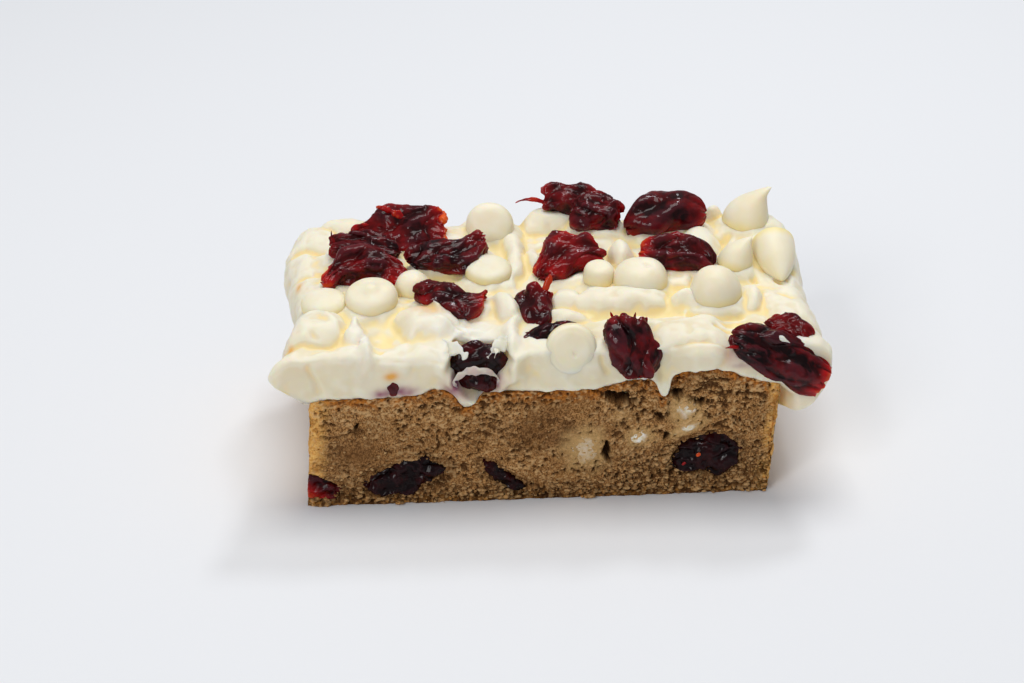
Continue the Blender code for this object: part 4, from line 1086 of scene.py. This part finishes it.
def make_baked_berry(number, spec, material):
    """Cranberry that lies open in a cut face: its outline is ragged and its cut rough."""
    place, size, angles, blunt, face = spec
    form = (place, size, angles, 0.0, 0.0, 0.0, blunt)
    points = berry_form(form, 120, 100, 1.1, (3, 0.8, 0.5), 700 + 20 * number)[0]
    x, y, height = np.moveaxis(points, -1, 0)
    swell = 1 + noises((x, 0 * x, height), (0.13, 2.6, 760 + number), (0.08, 1.1, 780 + number))
    points[..., 0] = place[0] + (x - place[0]) * swell
    points[..., 2] = place[2] + (height - place[2]) * swell
    points = level_with_cut(points, face, 0.0, 0.75)
    rough = 1.1 * np.abs(noise(x / 1.4, y, height, 2.2, 740 + number)) + 0.30 * noise(x, y, height, 0.9, 750 + number)
    near_cut = smooth(np.abs(points[..., 1] - face), 1.2, 0.2)
    points[..., 1] = points[..., 1] - math.copysign(1, face) * near_cut * (rough - 0.15)
    at_corner = number == CORNER_BERRY
    name = "baked_cranberry_%02d" % number
    reddened = 0.75 * smooth(x + height, -35.0, -40.0) * at_corner
    return make_closed("dressed_" + name, points, material, "dried_cranberry", [name],
                       thin=reddened, crest=crests(points), baked=0.15 if at_corner else 1.0)


def make_baked_chocolate(number, lump, material):
    """Lump of white chocolate that lies open in a cut face, with crumb clinging to its rim."""
    place, size, pitch, whiteness, face = lump
    form = (place, size, (0, pitch, 0), 0.0, 0.0, 0.0, 0.7)
    wrinkle = 0.15 if whiteness < 0.5 else 0.5
    points = berry_form(form, 80, 70, wrinkle, (3, 0.5, 0.2), 900 + 20 * number)[0]
    points = level_with_cut(points, face, -0.1, 0.85)
    u, v = across_lump(points[..., 0], points[..., 2], place, size, pitch)
    uneven = noise(*np.moveaxis(points, -1, 0), 1.6, 560 + number)
    smeared = 1 - whiteness * smooth(np.hypot(u, v) + 0.5 * uneven, 1.0, 0.25)
    name = "baked_chocolate_%02d" % number
    plain = dict.fromkeys(("pore", "hole", "dense", "crust", "foot", "toast", "tone"), 0.0)
    return make_closed("dressed_" + name, points, material, "white_chocolate", [name],
                       smeared=smeared, glow=1.0, **plain)


# Materials

class Nodes:
    """Short names for adding and joining the nodes of one material."""

    def __init__(self, name):
        self.material = bpy.data.materials.new(name)
        self.material.use_nodes = True
        self.tree = self.material.node_tree
        self.shader = self.tree.nodes["Principled BSDF"]
        self.coordinates = self.tree.nodes.new("ShaderNodeTexCoord").outputs["Object"]

    def put(self, value, socket):
        """Give a socket another node's output, a colour, a direction or a number."""
        if isinstance(value, bpy.types.NodeSocket):
            self.tree.links.new(value, socket)
        elif isinstance(value, tuple):
            socket.default_value = (*value, 1.0)[:len(socket.default_value)]
        else:
            socket.default_value = value

    def add(self, kind, inputs, output, **settings):
        """One output of a new node with these inputs and settings."""
        node = self.tree.nodes.new("ShaderNode" + kind)
        for name, value in settings.items():
            setattr(node, name, value)
        for name, value in inputs.items():
            self.put(value, node.inputs[name])
        return node.outputs[output]

    def field(self, name):
        """Value of a named field of the mesh."""
        return self.add("Attribute", {}, "Fac", attribute_name=name)

    def noise(self, size_mm, detail=2.0, stretch=None):
        """Noise texture whose main feature has this size."""
        place = self.coordinates
        if stretch:
            place = self.add("Mapping", {"Vector": place, "Scale": stretch}, "Vector")
        return self.add("TexNoise", {"Vector": place, "Scale": 1 / (size_mm * MM), "Detail": detail}, "Fac")

    def span(self, value, low, high, to_low=0.0, to_high=1.0):
        """Value carried from one range to another and held inside it."""
        inputs = {"Value": value, "From Min": low, "From Max": high, "To Min": to_low, "To Max": to_high}
        return self.add("MapRange", inputs, "Result")

    def mix(self, share, first, second, strength=1.0):
        """Colour between two, by a share that is weakened by its strength."""
        if strength < 1.0:
            share = self.add("Math", {0: share, 1: strength}, "Value", operation="MULTIPLY")
        return self.add("Mix", {"Factor": share, 6: first, 7: second}, 2, data_type="RGBA")

    def over(self, colour, *layers):
        """Colour with layers laid over it, each given as its share, strength and colour."""
        for share, strength, layer in layers:
            colour = self.mix(share, colour, layer, strength)
        return colour

    def mottled(self, size_mm, detail, low, high, dark, pale):
        """Two colours in patches of this size."""
        return self.mix(self.span(self.noise(size_mm, detail), low, high), dark, pale)

    def finish(self, colour, rough, grit, glow, **values):
        """The shader's colour, roughness, bump, light let through and plain values.

        Rough is size, detail, lowest and highest; grit is size, detail,
        strength, depth and perhaps stretch; glow is share, radius and depth.
        """
        size, detail, low, high = rough
        roughness = self.span(self.noise(size, detail), 0.3, 0.7, low, high)
        size, detail, strength, depth, *stretch = grit
        grain = self.noise(size, detail, *stretch)
        bump = self.add("Bump", {"Strength": strength, "Distance": depth * MM, "Height": grain}, "Normal")
        weight, radius, reach = glow
        self.set(Base_Color=colour, Roughness=roughness, Normal=bump, Subsurface_Weight=weight,
                 Subsurface_Radius=radius, Subsurface_Scale=reach * MM, **values)
        return self.material

    def set(self, **values):
        """Values of the shader's own sockets."""
        for name, value in values.items():
            self.put(value, self.shader.inputs[name.replace("_", " ")])


def crumb_colour(n):
    """Colour of the crumb: sandy golden brown, pale flecks, pits and holes darkened by painted shade, golden sides
    and a toasted top edge.
    """
    grain = n.span(n.noise(0.34, 2.0, (1.3, 1.0, 1.0)), 0.40, 0.60)
    dark = n.mix(n.field("dense"), (0.178, 0.075, 0.020), (0.088, 0.035, 0.009), 0.85)
    pale = n.mix(n.field("dense"), (0.550, 0.288, 0.103), (0.212, 0.095, 0.030), 0.85)
    patches = n.span(n.noise(7.0, 2.0), 0.38, 0.62)
    specks = n.span(n.noise(0.50, 1.0, (1.5, 1.0, 1.0)), 0.60, 0.68)
    toasted = n.mottled(0.8, 3.0, 0.40, 0.60, (0.140, 0.040, 0.006), (0.490, 0.168, 0.024))
    crust = n.mottled(0.45, 3.0, 0.36, 0.62, (0.72, 0.330, 0.072), (0.96, 0.570, 0.172))
    crust = n.over(crust, (n.span(n.noise(5.0, 3.0), 0.46, 0.62), 0.30, (0.46, 0.180, 0.032)))
    foot = n.mottled(0.8, 3.0, 0.44, 0.62, (0.070, 0.024, 0.005), (0.520, 0.230, 0.048))
    return n.over(
        n.mix(grain, dark, pale),
        (patches, 0.35, (0.225, 0.098, 0.026)),
        (specks, 0.50, (0.060, 0.021, 0.005)),
        (n.field("toast"), 0.95, toasted),
        (n.field("crust"), 0.95, crust),
        (n.field("foot"), 0.85, foot),
        (n.field("glow"), 0.70, (0.58, 0.37, 0.15)),
        (n.field("tone"), 0.70, (0.700, 0.440, 0.200)),
        # painted shade in pits, crevices, shrunk rims and then holes
        (n.field("pore"), 0.82, (0.056, 0.019, 0.004)),
        (n.field("hole"), 0.94, (0.042, 0.014, 0.003)),
    )


def crumb_material():
    """Brown crumb, matt, with a gritty bump."""
    n = Nodes("crumb_baked")
    return n.finish(crumb_colour(n), (2.0, 3.0, 0.72, 0.92), (0.40, 4.0, 0.9, 0.30), (0.05, (1.0, 0.45, 0.2), 0.6),
                    Specular_IOR_Level=0.15)


def frosting_material():
    """Pale cream, warmer and yellower down in the creases as painted glow of light bounced and let through there,
    paler on the bumps as a painted highlight, with a soft satin surface.
    """
    n = Nodes("frosting_satin")
    crease = n.field("crease")
    colour = n.over(
        n.mottled(9.0, 2.0, 0.35, 0.65, (0.805, 0.712, 0.500), (0.835, 0.762, 0.580)),
        # painted glow of bounced and let-through light in the creases, then a painted highlight on the bumps
        (n.span(crease, 0.10, 0.80), 0.82, (0.92, 0.745, 0.34)),
        (n.span(crease, -0.10, -0.60), 0.5, (0.90, 0.865, 0.74)),
        (n.field("torn"), 0.6, (0.90, 0.885, 0.84)),
        (n.field("purple"), 1.0, (0.30, 0.11, 0.16)),
        (n.field("orange"), 1.0, (0.83, 0.42, 0.09)),
    )
    return n.finish(colour, (3.0, 3.0, 0.40, 0.62), (0.9, 3.0, 0.18, 0.2), CREAMY_GLOW, Specular_IOR_Level=0.3)


def chip_material():
    """White chocolate: smooth ivory with a faint bloom, yellower towards its base as painted glow of light let
    through.
    """
    n = Nodes("white_chocolate_ivory")
    bloom = n.mottled(4.0, 3.0, 0.35, 0.65, (0.855, 0.770, 0.560), (0.880, 0.812, 0.645))
    colour = n.mix(n.field("crease"), bloom, (0.92, 0.745, 0.33))
    return n.finish(colour, (2.0, 2.0, 0.38, 0.54), (1.3, 2.0, 0.10, 0.15), CREAMY_GLOW, Specular_IOR_Level=0.3)


def baked_chocolate_material():
    """White chocolate melted into the crumb: pale in the middle and crumb brown at the rim."""
    n = Nodes("white_chocolate_baked")
    pale = n.mottled(1.0, 3.0, 0.40, 0.62, (0.74, 0.64, 0.44), (0.92, 0.90, 0.83))
    colour = n.mix(n.field("smeared"), pale, crumb_colour(n))
    return n.finish(colour, (1.5, 2.0, 0.50, 0.75), (0.5, 3.0, 0.5, 0.2), (0.2, (1.0, 0.6, 0.3), 1.5),
                    Specular_IOR_Level=0.2)


def berry_material(name, coat):
    """Dried cranberry skin: near black and wine red, with a painted mauve sheen on its crests and painted shade in
    its valleys, red to orange where thin, partly its own colour and partly painted light let through, glossy.
    """
    n = Nodes(name)
    crest, thin = n.field("crest"), n.field("thin")
    colour = n.over(
        n.mottled(3.2, 2.0, 0.45, 0.64, (0.0045, 0.0003, 0.0007), (0.118, 0.0022, 0.0034)),
        (n.span(n.noise(0.9, 2.0), 0.45, 0.65), 0.4, (0.030, 0.0008, 0.0020)),
        # painted mauve sheen on the crests, then painted shade in the valleys
        (n.span(crest, 0.3, 1.0), 0.48, (0.095, 0.0150, 0.0220)),
        (n.span(crest, 0.0, -0.8), 0.80, (0.006, 0.0003, 0.0006)),
        # red to orange where thin: partly the skin's own colour, partly painted light let through
        (n.span(thin, 0.0, 0.50), 1.0, (0.36, 0.0060, 0.0065)),
        (n.span(thin, 0.55, 1.0), 1.0, (0.72, 0.10, 0.016)),
        # near black on the berries baked in the cut faces, and painted shade on the sunken berry
        (n.field("baked"), 0.80, (0.0040, 0.0006, 0.0010)),
    )
    return n.finish(colour, (1.2, 3.0, 0.30, 0.50), (0.5, 3.0, 0.40, 0.12, (2.0, 1.0, 1.0)),
                    (0.12, (1.0, 0.06, 0.04), 1.4), Specular_IOR_Level=0.03, Coat_Weight=coat, Coat_Roughness=0.08)


def floor_material():
    """Plain pale floor with the faintest unevenness."""
    n = Nodes("pale_floor")
    colour = n.mottled(400.0, 1.0, 0.3, 0.7, (0.808, 0.817, 0.839), (0.820, 0.829, 0.850))
    n.set(Base_Color=colour, Roughness=0.9, Specular_IOR_Level=0.1)
    return n.material


# Stage, lights and camera

def make_floor():
    """Wide plane under the bar."""
    mesh = bpy.data.meshes.new("floor")
    corners = ((-1, -1), (1, -1), (1, 1), (-1, 1))
    mesh.from_pydata([(FLOOR_HALF * x, FLOOR_HALF * y, 0) for x, y in corners], [], [(0, 1, 2, 3)])
    mesh.materials.append(floor_material())
    floor = bpy.data.objects.new("floor", mesh)
    bpy.context.scene.collection.objects.link(floor)


def set_up(name, data, right, up, back, place):
    """Lamp or camera in the scene, from its three unit axes and its place in metres."""
    thing = bpy.data.objects.new(name, data)
    bpy.context.scene.collection.objects.link(thing)
    rows = [(*row, offset) for row, offset in zip(np.stack([right, up, back], 1), place)]
    thing.matrix_world = Matrix(rows + [(0, 0, 0, 1)])
    return thing


def light_scene():
    """Pale surrounding light, square soft lights above and in front, and two small ones for the sparkle."""
    world = bpy.data.worlds.new("studio")
    world.use_nodes = True
    background = world.node_tree.nodes["Background"]
    background.inputs["Color"].default_value = (0.93, 0.955, 1.0, 1.0)
    background.inputs["Strength"].default_value = WORLD_STRENGTH
    bpy.context.scene.world = world
    for name, place, target, size, power, colour in LIGHTS:
        data = bpy.data.lights.new(name, "AREA")
        data.shape = "SQUARE"
        data.size = size
        data.energy = power
        data.color = colour
        back = np.array(place, float) - np.array(target, float)
        back = back / np.linalg.norm(back)
        right = np.cross((0.0, 1.0, 0.001), back)
        right = right / np.linalg.norm(right)
        set_up(name, data, right, np.cross(back, right), back, place)


def place_camera():
    """Camera at the photograph's angle: 28.5 degrees above the horizon and 1.3 to the left."""
    data = bpy.data.cameras.new("camera")
    data.lens = 85.0
    data.sensor_width = 36.0
    data.sensor_fit = "HORIZONTAL"
    data.clip_start = 0.01
    data.clip_end = 50.0
    elevation, azimuth, roll = (math.radians(a) for a in CAMERA_ANGLES)
    level = np.array((math.cos(azimuth), math.sin(azimuth), 0.0))
    back = np.array((math.sin(azimuth) * math.cos(elevation), -math.cos(azimuth) * math.cos(elevation),
                     math.sin(elevation)))
    upright = np.cross(back, level)
    right = math.cos(roll) * level - math.sin(roll) * upright
    up = math.sin(roll) * level + math.cos(roll) * upright
    bpy.context.scene.camera = set_up("camera", data, right, up, back, CAMERA_PLACE)


def main():
    """Dress every node, then set the stage."""
    crumb, cream = crumb_material(), frosting_material()
    ivory, baked_ivory = chip_material(), baked_chocolate_material()
    skin, baked_skin = berry_material("dried_berry_skin", 0.32), berry_material("baked_berry_skin", 0.24)
    make_cake(crumb)
    make_frosting(cream)
    make_grains(crumb)
    for number, chip in enumerate(CHIPS, 1):
        make_chip(number, chip, ivory)
    for number, (path, width, thickness, tip, ragged, purple) in enumerate(TORN_FROSTING, 1):
        make_strand("torn_frosting_%02d" % number, path, width, thickness, tip, ragged, 840 + number, cream,
                    "frosting_cream", torn=0.4, crease=0.0, purple=purple, orange=0.0)
    for number, (path, width, tip, thin) in enumerate(BERRY_THREADS, 1):
        make_strand("berry_thread_%02d" % number, path, width, 0.45 * width, tip, 0.5, 860 + number, skin,
                    "dried_cranberry", thin=thin, crest=0.0, baked=0.0)
    for number, (spec, look) in enumerate(zip(BERRIES, BERRY_LOOKS), 1):
        make_berry(number, spec, look, skin)
    for number, spec in enumerate(BAKED_BERRIES, 1):
        make_baked_berry(number, spec, baked_skin)
    for number, lump in enumerate(BAKED_CHOCOLATE, 1):
        make_baked_chocolate(number, lump, baked_ivory)
    make_floor()
    light_scene()
    place_camera()
    bpy.context.scene.view_settings.view_transform = "Standard"


main()
